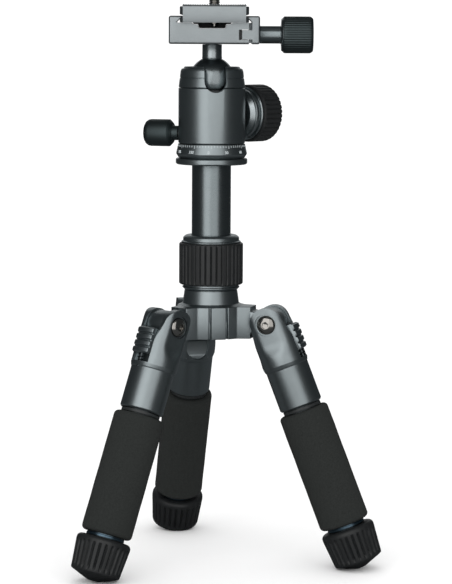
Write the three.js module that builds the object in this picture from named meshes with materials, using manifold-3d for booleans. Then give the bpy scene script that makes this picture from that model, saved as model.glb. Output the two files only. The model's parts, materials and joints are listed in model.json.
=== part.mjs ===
// A table-top tripod with a ball head and a quick-release clamp, in millimetres, +Z up.
// The model is built about the centre column's axis and is then moved so that the
// origin is on the ground, under the middle of its bounding box.
import * as THREE from "three";
import { mergeVertices } from "three/addons/utils/BufferGeometryUtils.js";
import Module from "manifold-3d";

// ---- Driving dimensions (mm, degrees) ----

const GAP = 0.3; // between neighbouring pieces
const ROUND = 20; // facets round a large piece
const FINE = 10; // facets round a small piece

// Legs: lengths run down the leg from its pivot axis
const LEG_COUNT = 3;
const REAR_LEG_AZIMUTH = 104;
const LEG_TILT = 21.56; // from vertical
const PIVOT_RADIUS = 34.9; // column axis to pivot axis
const EAR_THICKNESS = 4.95;
const SHOULDER_WAIST = 24.1; // where the step to the barrel starts
const SHOULDER_STEP = 2;
const BARREL_WALL = 1.7; // outside the leg tube
const SHOULDER_STEP_RISE = 0.9; // the shoulder stands proud of the barrel
const SHOULDER_LENGTH = 49.5;
const EAR_RADIUS = 9.5;
const SLOT_DEPTH = 23.6;
const LEG_TUBE_RADIUS = 10.2;
const LEG_TUBE_WALL = 1.2;
const TUBE_INSERT = 19; // length of tube inside the shoulder
const TOP_RING_WALL = 0.4;
const TOP_RING_LENGTH = 1.9;
const GRIP_THICKNESS = 3.7;
const GRIP_LENGTH = 68;
const GRIP_END_ROUND = 2.6;
const LOWER_RING_WALL = 0.2;
const LOWER_RING_LENGTH = 1.6;
const FOOT_WALL = 4.7;
const FOOT_TAPER = 1.4; // radius lost down to the rim
const FOOT_TIP_RADIUS = 3;
const FOOT_LENGTH = 19.5;
const FOOT_FLOOR = 3.5; // rubber under the tube's end
const BOLT_RADIUS = 3;
const BOLT_THREAD_RADIUS = 1.7;
const BOLT_HEAD_RADIUS = 5.2;
const BOLT_HEAD_HEIGHT = 2.2;
const COUNTERBORE_CLEARANCE = 1;
const COUNTERBORE_DEPTH = 1.4;

// Angle lock: a slide in the outer side of the fork
const LOCK_TOP = 4.3;
const LOCK_LENGTH = 14.8;
const LOCK_SEAT = 3.6; // slide, inside the shoulder's radius
const LOCK_PROUD = 1.8; // slide, outside it
const LOCK_RIBS = 3;
const LOCK_TRAVEL = 3;
const LOCK_PIN_RADIUS = 1.2;

// Crown
const LUG_RADIUS = 8.6;
const LUG_WIDTH = 12.3;
const CROWN_DROP = 8.6; // crown's lower face, below the pivots
const CROWN_RISE = 9.3; // top of its facets, above the pivots
const CROWN_WALL = 7.3; // column bore to facet
const FACET_WIDTH = 8.2;
const CROWN_SLOPE = 1.2;
const NECK_HEIGHT = 7.5;
const NECK_TAPER = 1.2;
const NECK_STEP = 0.7; // neck's top, outside its spigot
const SPIGOT_HEIGHT = 17;
const SPIGOT_WALL = 1.3;

// Column and twist collar
const COLUMN_RADIUS = 11;
const COLUMN_WALL = 1.6;
const COLUMN_EXPOSED = 39.8; // collar to platform, with the column raised
const PLUG_FLANGE_LIP = 1.6; // outside the column
const PLUG_FLANGE_HEIGHT = 1.6;
const PLUG_SPIGOT = 9;
const COLLET_WALL = 1;
const COLLET_SLIT = 1.2;
const COLLAR_HEIGHT = 30.5;
const COLLAR_WALL = 1.7;
const COLLAR_FOOT_HEIGHT = 2.5;
const COLLAR_LIP_HEIGHT = 4;
const COLLAR_GRIP_THICKNESS = 1.8;

// Ball head
const PLATFORM_LIP = 0.2; // outside the base
const PLATFORM_HEIGHT = 3.3;
const STUD_RADIUS = 4.76; // 3/8 inch
const STUD_LENGTH = 19.5;
const BASE_LIP = 1.2; // outside the housing
const BASE_HEIGHT = 7.8;
const POST_RADIUS = 11;
const POST_HEIGHT = 8.3;
const POST_GROOVE_DEPTH = 1;
const HOUSING_WALL = 5.6;
const HOUSING_HEIGHT = 42.7; // with its cap
const CAP_HEIGHT = 11.5;
const CAP_TAPER = 1.4;
const BALL_RADIUS = 12.75;
const BALL_DROP = 7.2; // ball's centre, below the cap's top
const NOTCH_AZIMUTH = 277;
const NOTCH_CLEARANCE = 0.75; // each side of the dropped neck
const NOTCH_FLOOR = 1.5; // under the dropped neck
const NECK_RADIUS = 5.5;
const NECK_SPIGOT_RADIUS = 3.6;
const NECK_SPIGOT_LENGTH = 3.8;
const MAIN_KNOB_AZIMUTH = 42;
const BALL_ROOM = 3.65; // ball to the main lock's shaft
const MAIN_KNOB_RADIUS = 16.2;
const MAIN_KNOB_REACH = 22.3; // from the housing's side
const MAIN_HUB_RADIUS = 14.9;
const MAIN_HUB_LENGTH = 6.6;
const MAIN_SHAFT_RADIUS = 3;
const PAN_KNOB_AZIMUTH = 163;
const PAN_KNOB_HEIGHT = 5.3;
const PAN_KNOB_RADIUS = 7.6;
const PAN_KNOB_LENGTH = 16.2;
const PAN_KNOB_BOSS_RADIUS = 4.1;
const PAN_KNOB_REACH = 20.3; // from the housing's side
const PAN_SCREW_RADIUS = 2.5;
const DOG_POINT_RADIUS = 0.8;

// Quick-release clamp and plate
const NECK_EXPOSED = 6.75; // ball to the neck's shoulder under the clamp
const CLAMP_OFFSET = 1.2; // middle of the clamp, to the right of the neck
const CLAMP_WIDTH = 50.2;
const CLAMP_DEPTH = 42;
const CLAMP_HEIGHT = 15.5;
const GROOVE_DEPTH = 4;
const JAW_GAP = 1.9;
const JAW_WIDTH = 4.2;
const JAW_TRAVEL = 3;
const TONGUE_LENGTH = 5.6;
const TONGUE_HEIGHT = 5;
const TONGUE_LOW = 2.7; // tongue's lower face, above the clamp's foot
const PLATE_WIDTH = 38;
const PLATE_DEPTH = 50;
const PLATE_HEIGHT = 8.8;
const DOVETAIL_LIP = 2.1; // height of the straight edge below the dovetail
const DOVETAIL_CUT = 1.8;
const PAD_HEIGHT = 1.1;
const PAD_MARGIN = 1.4;
const CAMERA_SCREW_RADIUS = 3.175; // 1/4 inch
const CAMERA_SCREW_HEAD_RADIUS = 7.4;
const CAMERA_SCREW_HEAD_HEIGHT = 2.3;
const CAMERA_SCREW_PROUD = 5.4;
const CLAMP_SCREW_RADIUS = 2.5;
const CLAMP_HUB_RADIUS = 4.9;
const CLAMP_HUB_LENGTH = 11.8;
const CLAMP_KNOB_RADIUS = 10.25;
const CLAMP_KNOB_LENGTH = 17.9;
const GUIDE_PIN_RADIUS = 1.3;
const GUIDE_PIN_SPACING = 32;
const CENTRE_SCREW_RADIUS = 1.9;
const CENTRE_SCREW_HEAD_RADIUS = 3.6;
const CENTRE_SCREW_HEAD_HEIGHT = 2.6;

// ---- Levels worked out from them ----

const radians = THREE.MathUtils.degToRad;
const tilt = radians(LEG_TILT);

const slotWidth = LUG_WIDTH + 2 * GAP;
const shoulderFlat = slotWidth + 2 * EAR_THICKNESS;
const tubeSeat = LEG_TUBE_RADIUS + GAP;
const barrelRadius = tubeSeat + BARREL_WALL;
const shoulderRadius = barrelRadius + SHOULDER_STEP_RISE;
const topRingRadius = tubeSeat + TOP_RING_WALL;
const gripRadius = tubeSeat + GRIP_THICKNESS;
const lowerRingRadius = tubeSeat + LOWER_RING_WALL;
const footRadius = tubeSeat + FOOT_WALL;
const footRimRadius = footRadius - FOOT_TAPER;
const counterboreRadius = BOLT_HEAD_RADIUS + COUNTERBORE_CLEARANCE;
const lockInner = shoulderRadius - LOCK_SEAT;
const lockOuter = shoulderRadius + LOCK_PROUD;

const topRingStart = SHOULDER_LENGTH + GAP;
const gripStart = topRingStart + TOP_RING_LENGTH + GAP;
const lowerRingStart = gripStart + GRIP_LENGTH + GAP;
const footStart = lowerRingStart + LOWER_RING_LENGTH + GAP;
const footRim = footStart + FOOT_LENGTH;
// The tip's slope equals the leg's tilt, so a foot stands on its cone's lowest line.
const footTip = footRim + (footRimRadius - FOOT_TIP_RADIUS) * Math.tan(tilt);
const tubeEnd = footTip - FOOT_FLOOR - GAP;
const pivotZ = footRim * Math.cos(tilt) + footRimRadius * Math.sin(tilt);

const crownBottom = pivotZ - CROWN_DROP;
const facetTop = pivotZ + CROWN_RISE;
const neckBottom = facetTop + CROWN_SLOPE;
const neckTop = neckBottom + NECK_HEIGHT;
const columnBore = COLUMN_RADIUS + GAP;
const colletRadius = columnBore + COLLET_WALL;
const spigotBore = colletRadius + GAP;
const spigotRadius = spigotBore + SPIGOT_WALL;
const spigotTop = neckTop + SPIGOT_HEIGHT;
const facetApothem = columnBore + CROWN_WALL;
const neckUpperRadius = spigotRadius + NECK_STEP;
const neckLowerRadius = neckUpperRadius + NECK_TAPER;
const plugFlangeRadius = COLUMN_RADIUS + PLUG_FLANGE_LIP;
const collarRadius = spigotRadius + GAP + COLLAR_WALL;
const collarGripRadius = collarRadius + GAP + COLLAR_GRIP_THICKNESS;
const colletBottom = neckTop + 5;
const plugBottom = crownBottom;
const columnBottom = plugBottom + PLUG_FLANGE_HEIGHT + GAP;
const collarBottom = neckTop + GAP;
const collarTop = collarBottom + COLLAR_HEIGHT;
const ballSeat = BALL_RADIUS + GAP;
const chamberRadius = ballSeat + 0.05;
const housingRadius = chamberRadius + HOUSING_WALL;
const capTopRadius = housingRadius - CAP_TAPER;
const baseRadius = housingRadius + BASE_LIP;
const platformRadius = baseRadius + PLATFORM_LIP;
const mainKnobReach = housingRadius + MAIN_KNOB_REACH;
const panKnobReach = housingRadius + PAN_KNOB_REACH;
const platformBottom = collarTop + COLUMN_EXPOSED;
const platformTop = platformBottom + PLATFORM_HEIGHT;
const baseBottom = platformTop + GAP;
const baseTop = baseBottom + BASE_HEIGHT;
const postTop = baseTop + POST_HEIGHT;
const housingBottom = baseTop + GAP;
const capTop = housingBottom + HOUSING_HEIGHT;
const capBottom = capTop - CAP_HEIGHT;
const ballZ = capTop - BALL_DROP;
const chamberFloor = postTop + 2 * GAP;
const mainKnobZ = ballZ - BALL_RADIUS - BALL_ROOM - MAIN_SHAFT_RADIUS;
const notchWidth = 2 * (NECK_RADIUS + NOTCH_CLEARANCE);
const notchDepth = BALL_DROP + NECK_RADIUS + NOTCH_FLOOR;
const panKnobZ = housingBottom + PAN_KNOB_HEIGHT;
const neckShoulder = ballZ + BALL_RADIUS + NECK_EXPOSED;
const clampBottom = neckShoulder + GAP;
const clampTop = clampBottom + CLAMP_HEIGHT;
const grooveFloor = clampTop - GROOVE_DEPTH;
const plateBottom = grooveFloor + GAP;
const plateTop = plateBottom + PLATE_HEIGHT;
const padBottom = plateTop + GAP;
const padTop = padBottom + PAD_HEIGHT;
const clampScrewZ = clampBottom + TONGUE_LOW + TONGUE_HEIGHT / 2;

const wasm = await Module();
wasm.setup();

// ---- Shape tools ----

const X_AXIS = new THREE.Vector3(1, 0, 0);
const Y_AXIS = new THREE.Vector3(0, 1, 0);

// A closed three.js geometry as a manifold solid, with its collapsed triangles left out.
function solid(geometry) {
  const bare = geometry.index ? geometry.toNonIndexed() : geometry.clone();
  for (const name of Object.keys(bare.attributes)) {
    if (name !== "position") bare.deleteAttribute(name);
  }
  const merged = mergeVertices(bare, 1e-4);
  const index = merged.index.array;
  const kept = [];
  for (let i = 0; i < index.length; i += 3) {
    const [a, b, c] = [index[i], index[i + 1], index[i + 2]];
    if (a !== b && b !== c && c !== a) kept.push(a, b, c);
  }
  return new wasm.Manifold(
    new wasm.Mesh({
      numProp: 3,
      vertProperties: merged.attributes.position.array,
      triVerts: new Uint32Array(kept),
    }),
  );
}

// A manifold solid as a three.js geometry.
function geometryOf(made) {
  const mesh = made.getMesh();
  const geometry = new THREE.BufferGeometry();
  geometry.setAttribute("position", new THREE.BufferAttribute(mesh.vertProperties, 3));
  geometry.setIndex(new THREE.BufferAttribute(mesh.triVerts, 1));
  geometry.computeVertexNormals();
  return geometry;
}

// Turns an outline of [radius, height] points about +Z. The outline runs outwards along
// the bottom, up the outside and back; it starts and ends on the axis, or it is a ring.
function revolve(outline, facets = ROUND) {
  const points = outline.map(([radius, height]) => new THREE.Vector2(radius, height));
  const [first, last] = [outline[0], outline[outline.length - 1]];
  if (first[0] > 0 || last[0] > 0) points.push(points[0].clone());
  const geometry = new THREE.LatheGeometry(points, facets);
  geometry.rotateX(Math.PI / 2);
  return solid(geometry);
}

// Points on an arc in an outline, in degrees from the outward direction.
function arc(centre, height, radius, from, to, steps) {
  return Array.from({ length: steps + 1 }, (_, i) => {
    const angle = radians(from + ((to - from) * i) / steps);
    return [centre + radius * Math.cos(angle), height + radius * Math.sin(angle)];
  });
}

// Extrudes an outline of [x, z] points along Y, centred on Y = 0.
function bar(outline, depth) {
  const shape = new THREE.Shape(outline.map(([x, z]) => new THREE.Vector2(x, z)));
  const geometry = new THREE.ExtrudeGeometry(shape, { depth, bevelEnabled: false });
  geometry.rotateX(Math.PI / 2);
  geometry.translate(0, depth / 2, 0);
  return solid(geometry);
}

// Extrudes an outline of [x, y] points from one height to another.
function prism(outline, bottom, top) {
  const shape = new THREE.Shape(outline.map(([x, y]) => new THREE.Vector2(x, y)));
  const geometry = new THREE.ExtrudeGeometry(shape, { depth: top - bottom, bevelEnabled: false });
  geometry.translate(0, 0, bottom);
  return solid(geometry);
}

function block(low, high) {
  const size = high.map((value, i) => value - low[i]);
  const geometry = new THREE.BoxGeometry(...size);
  geometry.translate(...low.map((value, i) => value + size[i] / 2));
  return solid(geometry);
}

// Moves a solid made along +Z so that it lies along an axis through a point.
function along(made, direction, point = new THREE.Vector3()) {
  const turn = new THREE.Quaternion().setFromUnitVectors(new THREE.Vector3(0, 0, 1), direction);
  const matrix = new THREE.Matrix4().compose(point, turn, new THREE.Vector3(1, 1, 1));
  return made.transform(matrix.elements);
}

function rod(radius, start, end, facets = FINE) {
  return revolve([[0, start], [radius, start], [radius, end], [0, end]], facets);
}

function heading(azimuth) {
  return new THREE.Vector3(Math.cos(radians(azimuth)), Math.sin(radians(azimuth)), 0);
}

function rotated([x, y], azimuth) {
  const angle = radians(azimuth);
  return [x * Math.cos(angle) - y * Math.sin(angle), x * Math.sin(angle) + y * Math.cos(angle)];
}

const legAzimuths = Array.from(
  { length: LEG_COUNT },
  (_, i) => REAR_LEG_AZIMUTH + (360 / LEG_COUNT) * i,
);

// ---- Finishes ----

const FINISHES = {
  anodised: { color: 0x4b5456, roughness: 0.38, metalness: 0.85 },
  silver_anodised: { color: 0x8f989b, roughness: 0.4, metalness: 0.8 },
  blue_anodised: { color: 0x5b6e78, roughness: 0.4, metalness: 0.8 },
  black_anodised: { color: 0x1c1f20, roughness: 0.35, metalness: 0.7 },
  steel: { color: 0xb9b6b0, roughness: 0.22, metalness: 1 },
  rubber: { color: 0x222526, roughness: 0.75, metalness: 0 },
  foam: { color: 0x262727, roughness: 0.95, metalness: 0 },
  nylon: { color: 0x2a2d2e, roughness: 0.55, metalness: 0 },
};

const tripod = new THREE.Group();

function place(name, made, finish, parent = tripod) {
  const material = new THREE.MeshStandardMaterial({ ...FINISHES[finish], name: finish });
  const mesh = new THREE.Mesh(geometryOf(made), material);
  mesh.name = name;
  parent.add(mesh);
  return mesh;
}

// ---- Crown ----

// Half of an arm and half of a facet on each side of every arm, all the way round.
function crownOutline() {
  const rootRadius = facetApothem - 1.1;
  const rootHalf = LUG_WIDTH / 2 + 2.2;
  const armEnd = PIVOT_RADIUS - EAR_RADIUS - 1;
  const half = FACET_WIDTH / 2;
  const step = 360 / LEG_COUNT;
  return legAzimuths.flatMap((azimuth) => [
    rotated([facetApothem, half], azimuth - step / 2),
    rotated([facetApothem - 2.4, half + 1], azimuth - step / 2),
    rotated([rootRadius, -rootHalf], azimuth),
    rotated([armEnd, -LUG_WIDTH / 2], azimuth),
    rotated([armEnd, LUG_WIDTH / 2], azimuth),
    rotated([rootRadius, rootHalf], azimuth),
    rotated([facetApothem - 2.4, -half - 1], azimuth + step / 2),
    rotated([facetApothem, -half], azimuth + step / 2),
  ]);
}

// An arm with its round lug, along +X with the pivot at its place, at height zero.
function crownArm() {
  const root = spigotRadius;
  const shoulder = PIVOT_RADIUS - EAR_RADIUS;
  const web = bar(
    [
      [root, -CROWN_DROP],
      [shoulder - 4, -CROWN_DROP],
      [shoulder, -LUG_RADIUS * 0.75],
      [PIVOT_RADIUS, -LUG_RADIUS * 0.75],
      [PIVOT_RADIUS, LUG_RADIUS * 0.85],
      [shoulder, LUG_RADIUS * 0.85],
      [root, CROWN_RISE + CROWN_SLOPE + 1.6],
    ],
    LUG_WIDTH,
  );
  const pivot = new THREE.Vector3(PIVOT_RADIUS, 0, 0);
  const lug = rod(LUG_RADIUS, -LUG_WIDTH / 2, LUG_WIDTH / 2, ROUND);
  const bore = rod(BOLT_RADIUS + GAP, -LUG_WIDTH, LUG_WIDTH);
  return web.add(along(lug, Y_AXIS, pivot)).subtract(along(bore, Y_AXIS, pivot));
}

function crown() {
  const neck = revolve([
    [0, crownBottom],
    [facetApothem - 2, crownBottom],
    [facetApothem - 0.2, facetTop],
    [neckLowerRadius, neckBottom],
    [neckUpperRadius, neckTop],
    [spigotRadius, neckTop],
    [spigotRadius, spigotTop],
    [0, spigotTop],
  ]);
  const bore = revolve([
    [0, crownBottom - 1],
    [plugFlangeRadius + GAP, crownBottom - 1],
    [plugFlangeRadius + GAP, columnBottom],
    [columnBore, columnBottom],
    [columnBore, colletBottom - GAP],
    [spigotBore, colletBottom - GAP],
    [spigotBore, spigotTop + 1],
    [0, spigotTop + 1],
  ]);
  const arms = legAzimuths.map((azimuth) => crownArm().rotate([0, 0, azimuth]));
  const body = arms.reduce(
    (sum, arm) => sum.add(arm.translate([0, 0, pivotZ])),
    neck.add(prism(crownOutline(), crownBottom, facetTop)),
  );
  return body.subtract(bore);
}

// ---- Column and twist collar ----

function collet() {
  const top = collarTop - COLLAR_LIP_HEIGHT - GAP;
  const sleeve = revolve([
    [columnBore, colletBottom],
    [colletRadius, colletBottom],
    [colletRadius, top - 3],
    [colletRadius - 0.4, top],
    [columnBore, top],
  ]);
  const slit = block(
    [0, -COLLET_SLIT / 2, colletBottom - 1],
    [colletRadius + 1, COLLET_SLIT / 2, top + 1],
  );
  return sleeve.subtract(slit);
}

function collar() {
  const grip = collarBottom + COLLAR_FOOT_HEIGHT;
  const lip = collarTop - COLLAR_LIP_HEIGHT;
  const bore = spigotRadius + GAP;
  return revolve([
    [bore, collarBottom],
    [bore + 0.8, collarBottom],
    [collarRadius, grip],
    [collarRadius, lip],
    [collarRadius + 0.4, lip],
    [collarRadius - 1.4, collarTop],
    [columnBore, collarTop],
    [columnBore, lip],
    [spigotBore, lip],
    [spigotBore, spigotTop + GAP],
    [bore, spigotTop + GAP],
  ]);
}

function collarGrip() {
  const bottom = collarBottom + COLLAR_FOOT_HEIGHT + GAP;
  const top = collarTop - COLLAR_LIP_HEIGHT - GAP;
  const inner = collarRadius + GAP;
  return revolve([
    [inner, bottom],
    [collarGripRadius - 1, bottom],
    [collarGripRadius, bottom + 2.4],
    [collarGripRadius, top - 2.4],
    [collarGripRadius - 0.8, top],
    [inner, top],
  ]);
}

function columnTube() {
  return revolve([
    [COLUMN_RADIUS - COLUMN_WALL, columnBottom],
    [COLUMN_RADIUS, columnBottom],
    [COLUMN_RADIUS, platformBottom - GAP],
    [COLUMN_RADIUS - COLUMN_WALL, platformBottom - GAP],
  ]);
}

function columnPlug() {
  const spigot = COLUMN_RADIUS - COLUMN_WALL - GAP;
  const flangeTop = plugBottom + PLUG_FLANGE_HEIGHT;
  return revolve([
    [0, plugBottom],
    [plugFlangeRadius, plugBottom],
    [plugFlangeRadius, flangeTop],
    [spigot, flangeTop],
    [spigot, flangeTop + PLUG_SPIGOT],
    [0, flangeTop + PLUG_SPIGOT],
  ]);
}

function platform() {
  const spigot = COLUMN_RADIUS - COLUMN_WALL - GAP;
  const bore = STUD_RADIUS + GAP;
  const boreFloor = baseTop - 1 - STUD_LENGTH - GAP;
  const edge = 0.5;
  return revolve([
    [0, boreFloor - 2],
    [spigot, boreFloor - 2],
    [spigot, platformBottom],
    [platformRadius - edge, platformBottom],
    [platformRadius, platformBottom + edge],
    [platformRadius, platformTop - edge],
    [platformRadius - edge, platformTop],
    [bore, platformTop],
    [bore, boreFloor],
    [0, boreFloor],
  ]);
}

// ---- Ball head ----

function panBase() {
  const bore = STUD_RADIUS + GAP;
  const groove = POST_RADIUS - POST_GROOVE_DEPTH;
  const grooveHalf = DOG_POINT_RADIUS + GAP;
  return revolve([
    [0, baseTop - 1 + GAP],
    [bore, baseTop - 1 + GAP],
    [bore, baseBottom],
    [baseRadius - 2.4, baseBottom],
    [baseRadius - 0.6, baseBottom + 0.7],
    [baseRadius, baseBottom + 1.7],
    [housingRadius, baseTop],
    [POST_RADIUS, baseTop],
    [POST_RADIUS, panKnobZ - grooveHalf],
    [groove, panKnobZ - grooveHalf],
    [groove, panKnobZ + grooveHalf],
    [POST_RADIUS, panKnobZ + grooveHalf],
    [POST_RADIUS, postTop],
    [0, postTop],
  ]);
}

// The slot in the rim that the neck drops into.
function notch() {
  const half = notchWidth / 2;
  const centre = capTop - notchDepth + half;
  const channel = along(rod(half, 0, housingRadius + 2), X_AXIS, new THREE.Vector3(0, 0, centre));
  const open = block([0, -half, centre], [housingRadius + 2, half, capTop + 1]);
  return channel.add(open).rotate([0, 0, NOTCH_AZIMUTH]);
}

function sideHole(radius, azimuth, height) {
  return along(rod(radius, 0, housingRadius + 2), heading(azimuth), new THREE.Vector3(0, 0, height));
}

function housing() {
  const edge = 0.4;
  const post = POST_RADIUS + GAP;
  const top = capBottom - GAP;
  return revolve([
    [post, housingBottom],
    [housingRadius - edge, housingBottom],
    [housingRadius, housingBottom + edge],
    [housingRadius, top - edge],
    [housingRadius - edge, top],
    [chamberRadius, top],
    [chamberRadius, chamberFloor],
    [post, chamberFloor],
  ])
    .subtract(notch())
    .subtract(sideHole(MAIN_SHAFT_RADIUS + GAP, MAIN_KNOB_AZIMUTH, mainKnobZ))
    .subtract(sideHole(PAN_SCREW_RADIUS + GAP, PAN_KNOB_AZIMUTH, panKnobZ));
}

function housingCap() {
  const opening = THREE.MathUtils.radToDeg(Math.asin(BALL_DROP / ballSeat));
  return revolve([
    [chamberRadius, capBottom],
    [housingRadius - 0.4, capBottom],
    [housingRadius - 0.2, capBottom + 0.4],
    [housingRadius - 0.6, capBottom + 2.8],
    [capTopRadius + 0.3, capBottom + 6.8],
    [capTopRadius, capTop - 1.2],
    [capTopRadius - 1, capTop],
    ...arc(0, ballZ, ballSeat, opening, 0, 3),
    [chamberRadius, ballZ - 0.3],
  ]).subtract(notch());
}

function ballCup() {
  const low = -68;
  const high = -THREE.MathUtils.radToDeg(Math.asin((NECK_RADIUS + GAP) / ballSeat)); // under the dropped neck
  const outer = chamberRadius - GAP;
  const seat = arc(0, ballZ, ballSeat, high, low, 4);
  const bottom = mainKnobZ + MAIN_SHAFT_RADIUS + 2 * GAP;
  return revolve([[seat[4][0], bottom], [outer, bottom], [outer, seat[0][1]], ...seat]);
}

function ball() {
  const geometry = new THREE.SphereGeometry(BALL_RADIUS, ROUND, FINE);
  geometry.rotateX(Math.PI / 2);
  geometry.translate(0, 0, ballZ);
  return solid(geometry);
}

// The stem between ball and clamp, hollowed to follow the ball.
function neck() {
  const edge = THREE.MathUtils.radToDeg(Math.acos(NECK_RADIUS / ballSeat));
  const bore = CENTRE_SCREW_RADIUS + GAP;
  const top = neckShoulder + NECK_SPIGOT_LENGTH;
  return revolve(
    [
      ...arc(0, ballZ, ballSeat, 90, edge, 3),
      [NECK_RADIUS, neckShoulder],
      [NECK_SPIGOT_RADIUS, neckShoulder],
      [NECK_SPIGOT_RADIUS, top],
      [bore, top],
      [bore, neckShoulder - 4.5],
      [0, neckShoulder - 4.5],
    ].map(([radius, height], i) => [i === 0 ? 0 : radius, height]),
    ROUND,
  );
}

function mainKnobHub() {
  const inner = housingRadius + 2 * GAP;
  const outer = inner + MAIN_HUB_LENGTH;
  const bore = MAIN_SHAFT_RADIUS + GAP;
  const made = revolve([
    [bore, inner],
    [MAIN_HUB_RADIUS - 4, inner],
    [MAIN_HUB_RADIUS - 1.2, inner + 1.4],
    [MAIN_HUB_RADIUS - 1, inner + 4.6],
    [MAIN_HUB_RADIUS, inner + 5.2],
    [MAIN_HUB_RADIUS, outer],
    [bore, outer],
  ]);
  return along(made, heading(MAIN_KNOB_AZIMUTH), new THREE.Vector3(0, 0, mainKnobZ));
}

function mainKnobGrip() {
  const inner = housingRadius + MAIN_HUB_LENGTH + 3 * GAP;
  const bore = MAIN_SHAFT_RADIUS + GAP;
  const made = revolve([
    [0, mainKnobReach - 3],
    [bore, mainKnobReach - 3],
    [bore, inner],
    [MAIN_KNOB_RADIUS - 0.8, inner],
    [MAIN_KNOB_RADIUS, inner + 0.9],
    [MAIN_KNOB_RADIUS, mainKnobReach - 3],
    [MAIN_KNOB_RADIUS - 0.9, mainKnobReach - 1],
    [MAIN_KNOB_RADIUS - 3.3, mainKnobReach],
    [0, mainKnobReach],
  ]);
  return along(made, heading(MAIN_KNOB_AZIMUTH), new THREE.Vector3(0, 0, mainKnobZ));
}

function mainKnobShaft() {
  const made = revolve(
    [
      [0, 2],
      [1, 2],
      [MAIN_SHAFT_RADIUS, 6],
      [MAIN_SHAFT_RADIUS, mainKnobReach - 3 - GAP],
      [0, mainKnobReach - 3 - GAP],
    ],
    FINE,
  );
  return along(made, heading(MAIN_KNOB_AZIMUTH), new THREE.Vector3(0, 0, mainKnobZ));
}

function panKnob() {
  const inner = housingRadius + GAP + 0.1;
  const body = panKnobReach - PAN_KNOB_LENGTH;
  const bore = PAN_SCREW_RADIUS + GAP;
  const made = revolve(
    [
      [0, panKnobReach - 5],
      [bore, panKnobReach - 5],
      [bore, inner],
      [PAN_KNOB_BOSS_RADIUS, inner],
      [PAN_KNOB_BOSS_RADIUS, body],
      [PAN_KNOB_RADIUS - 1.4, body],
      [PAN_KNOB_RADIUS, body + 1.6],
      [PAN_KNOB_RADIUS, panKnobReach - 2.6],
      [PAN_KNOB_RADIUS - 1, panKnobReach - 0.8],
      [PAN_KNOB_RADIUS - 3, panKnobReach],
      [0, panKnobReach],
    ],
    ROUND,
  );
  return along(made, heading(PAN_KNOB_AZIMUTH), new THREE.Vector3(0, 0, panKnobZ));
}

// The screw's dog point runs in the groove round the pan base's post.
function panScrew() {
  const tip = POST_RADIUS - POST_GROOVE_DEPTH + GAP;
  const face = POST_RADIUS + GAP;
  const end = panKnobReach - 5 - GAP;
  const made = revolve(
    [
      [0, tip],
      [DOG_POINT_RADIUS, tip],
      [DOG_POINT_RADIUS, face],
      [PAN_SCREW_RADIUS, face],
      [PAN_SCREW_RADIUS, end],
      [0, end],
    ],
    FINE,
  );
  return along(made, heading(PAN_KNOB_AZIMUTH), new THREE.Vector3(0, 0, panKnobZ));
}

// ---- Quick-release clamp: drawn about the clamp's own middle ----

const clampHalf = CLAMP_WIDTH / 2;
const plateHalf = PLATE_WIDTH / 2;
const jawInner = clampHalf - JAW_WIDTH;
const baseEdge = jawInner - JAW_GAP;
// A jaw's flank runs at 45 degrees, clear of the plate's by the gap measured square to it.
const plateFlankTop = plateBottom + 0.5 + DOVETAIL_LIP - 0.5 + DOVETAIL_CUT;
const flankSum = plateHalf - DOVETAIL_CUT + plateFlankTop + GAP * Math.SQRT2;
const jawTip = flankSum - clampTop;
const flankFoot = flankSum - jawInner;

function clampOutline() {
  const left = -clampHalf;
  const stem = -CLAMP_OFFSET;
  const slotLow = clampBottom + TONGUE_LOW - GAP;
  const slotHigh = slotLow + TONGUE_HEIGHT + 2 * GAP;
  const slotEnd = jawInner - TONGUE_LENGTH - 1.8;
  const edge = 0.7;
  return [
    [left + edge, clampBottom],
    [baseEdge, clampBottom],
    [baseEdge, slotLow],
    [slotEnd, slotLow],
    [slotEnd, slotHigh],
    [baseEdge, slotHigh],
    [baseEdge, grooveFloor],
    [stem + 11, grooveFloor],
    [stem + 8.1, grooveFloor - 0.7],
    [stem + 7.2, grooveFloor - 3],
    [stem - 7.2, grooveFloor - 3],
    [stem - 8.1, grooveFloor - 0.7],
    [stem - 11, grooveFloor],
    [-jawInner, grooveFloor],
    [-jawInner, flankFoot],
    [-jawTip, clampTop],
    [left + edge, clampTop],
    [left, clampTop - edge],
    [left, clampBottom + edge],
  ];
}

function crossHole(radius, start, end, y) {
  return along(rod(radius, start, end), X_AXIS, new THREE.Vector3(0, y, clampScrewZ));
}

function clampBase() {
  const stem = [-CLAMP_OFFSET, 0, 0];
  const spigotHole = rod(NECK_SPIGOT_RADIUS + GAP, clampBottom - 1, neckShoulder + NECK_SPIGOT_LENGTH + GAP);
  const headSeat = centreHeadBottom() - GAP;
  const screwHole = rod(CENTRE_SCREW_RADIUS + GAP, clampBottom, clampTop);
  const headHole = rod(CENTRE_SCREW_HEAD_RADIUS + GAP, headSeat, clampTop);
  const pins = [-1, 1].map((side) =>
    crossHole(GUIDE_PIN_RADIUS + GAP, stemSide(), jawInner, (side * GUIDE_PIN_SPACING) / 2),
  );
  return [screwHole, headHole, spigotHole]
    .map((hole) => hole.translate(stem))
    .concat(pins, crossHole(CLAMP_SCREW_RADIUS + GAP, stemSide(), jawInner, 0))
    .reduce((made, hole) => made.subtract(hole), bar(clampOutline(), CLAMP_DEPTH));
}

// Where the cross holes end, clear of the neck's spigot.
function stemSide() {
  return -CLAMP_OFFSET + NECK_SPIGOT_RADIUS + 4;
}

function centreHeadBottom() {
  return neckShoulder + NECK_SPIGOT_LENGTH + 1.8;
}

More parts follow.
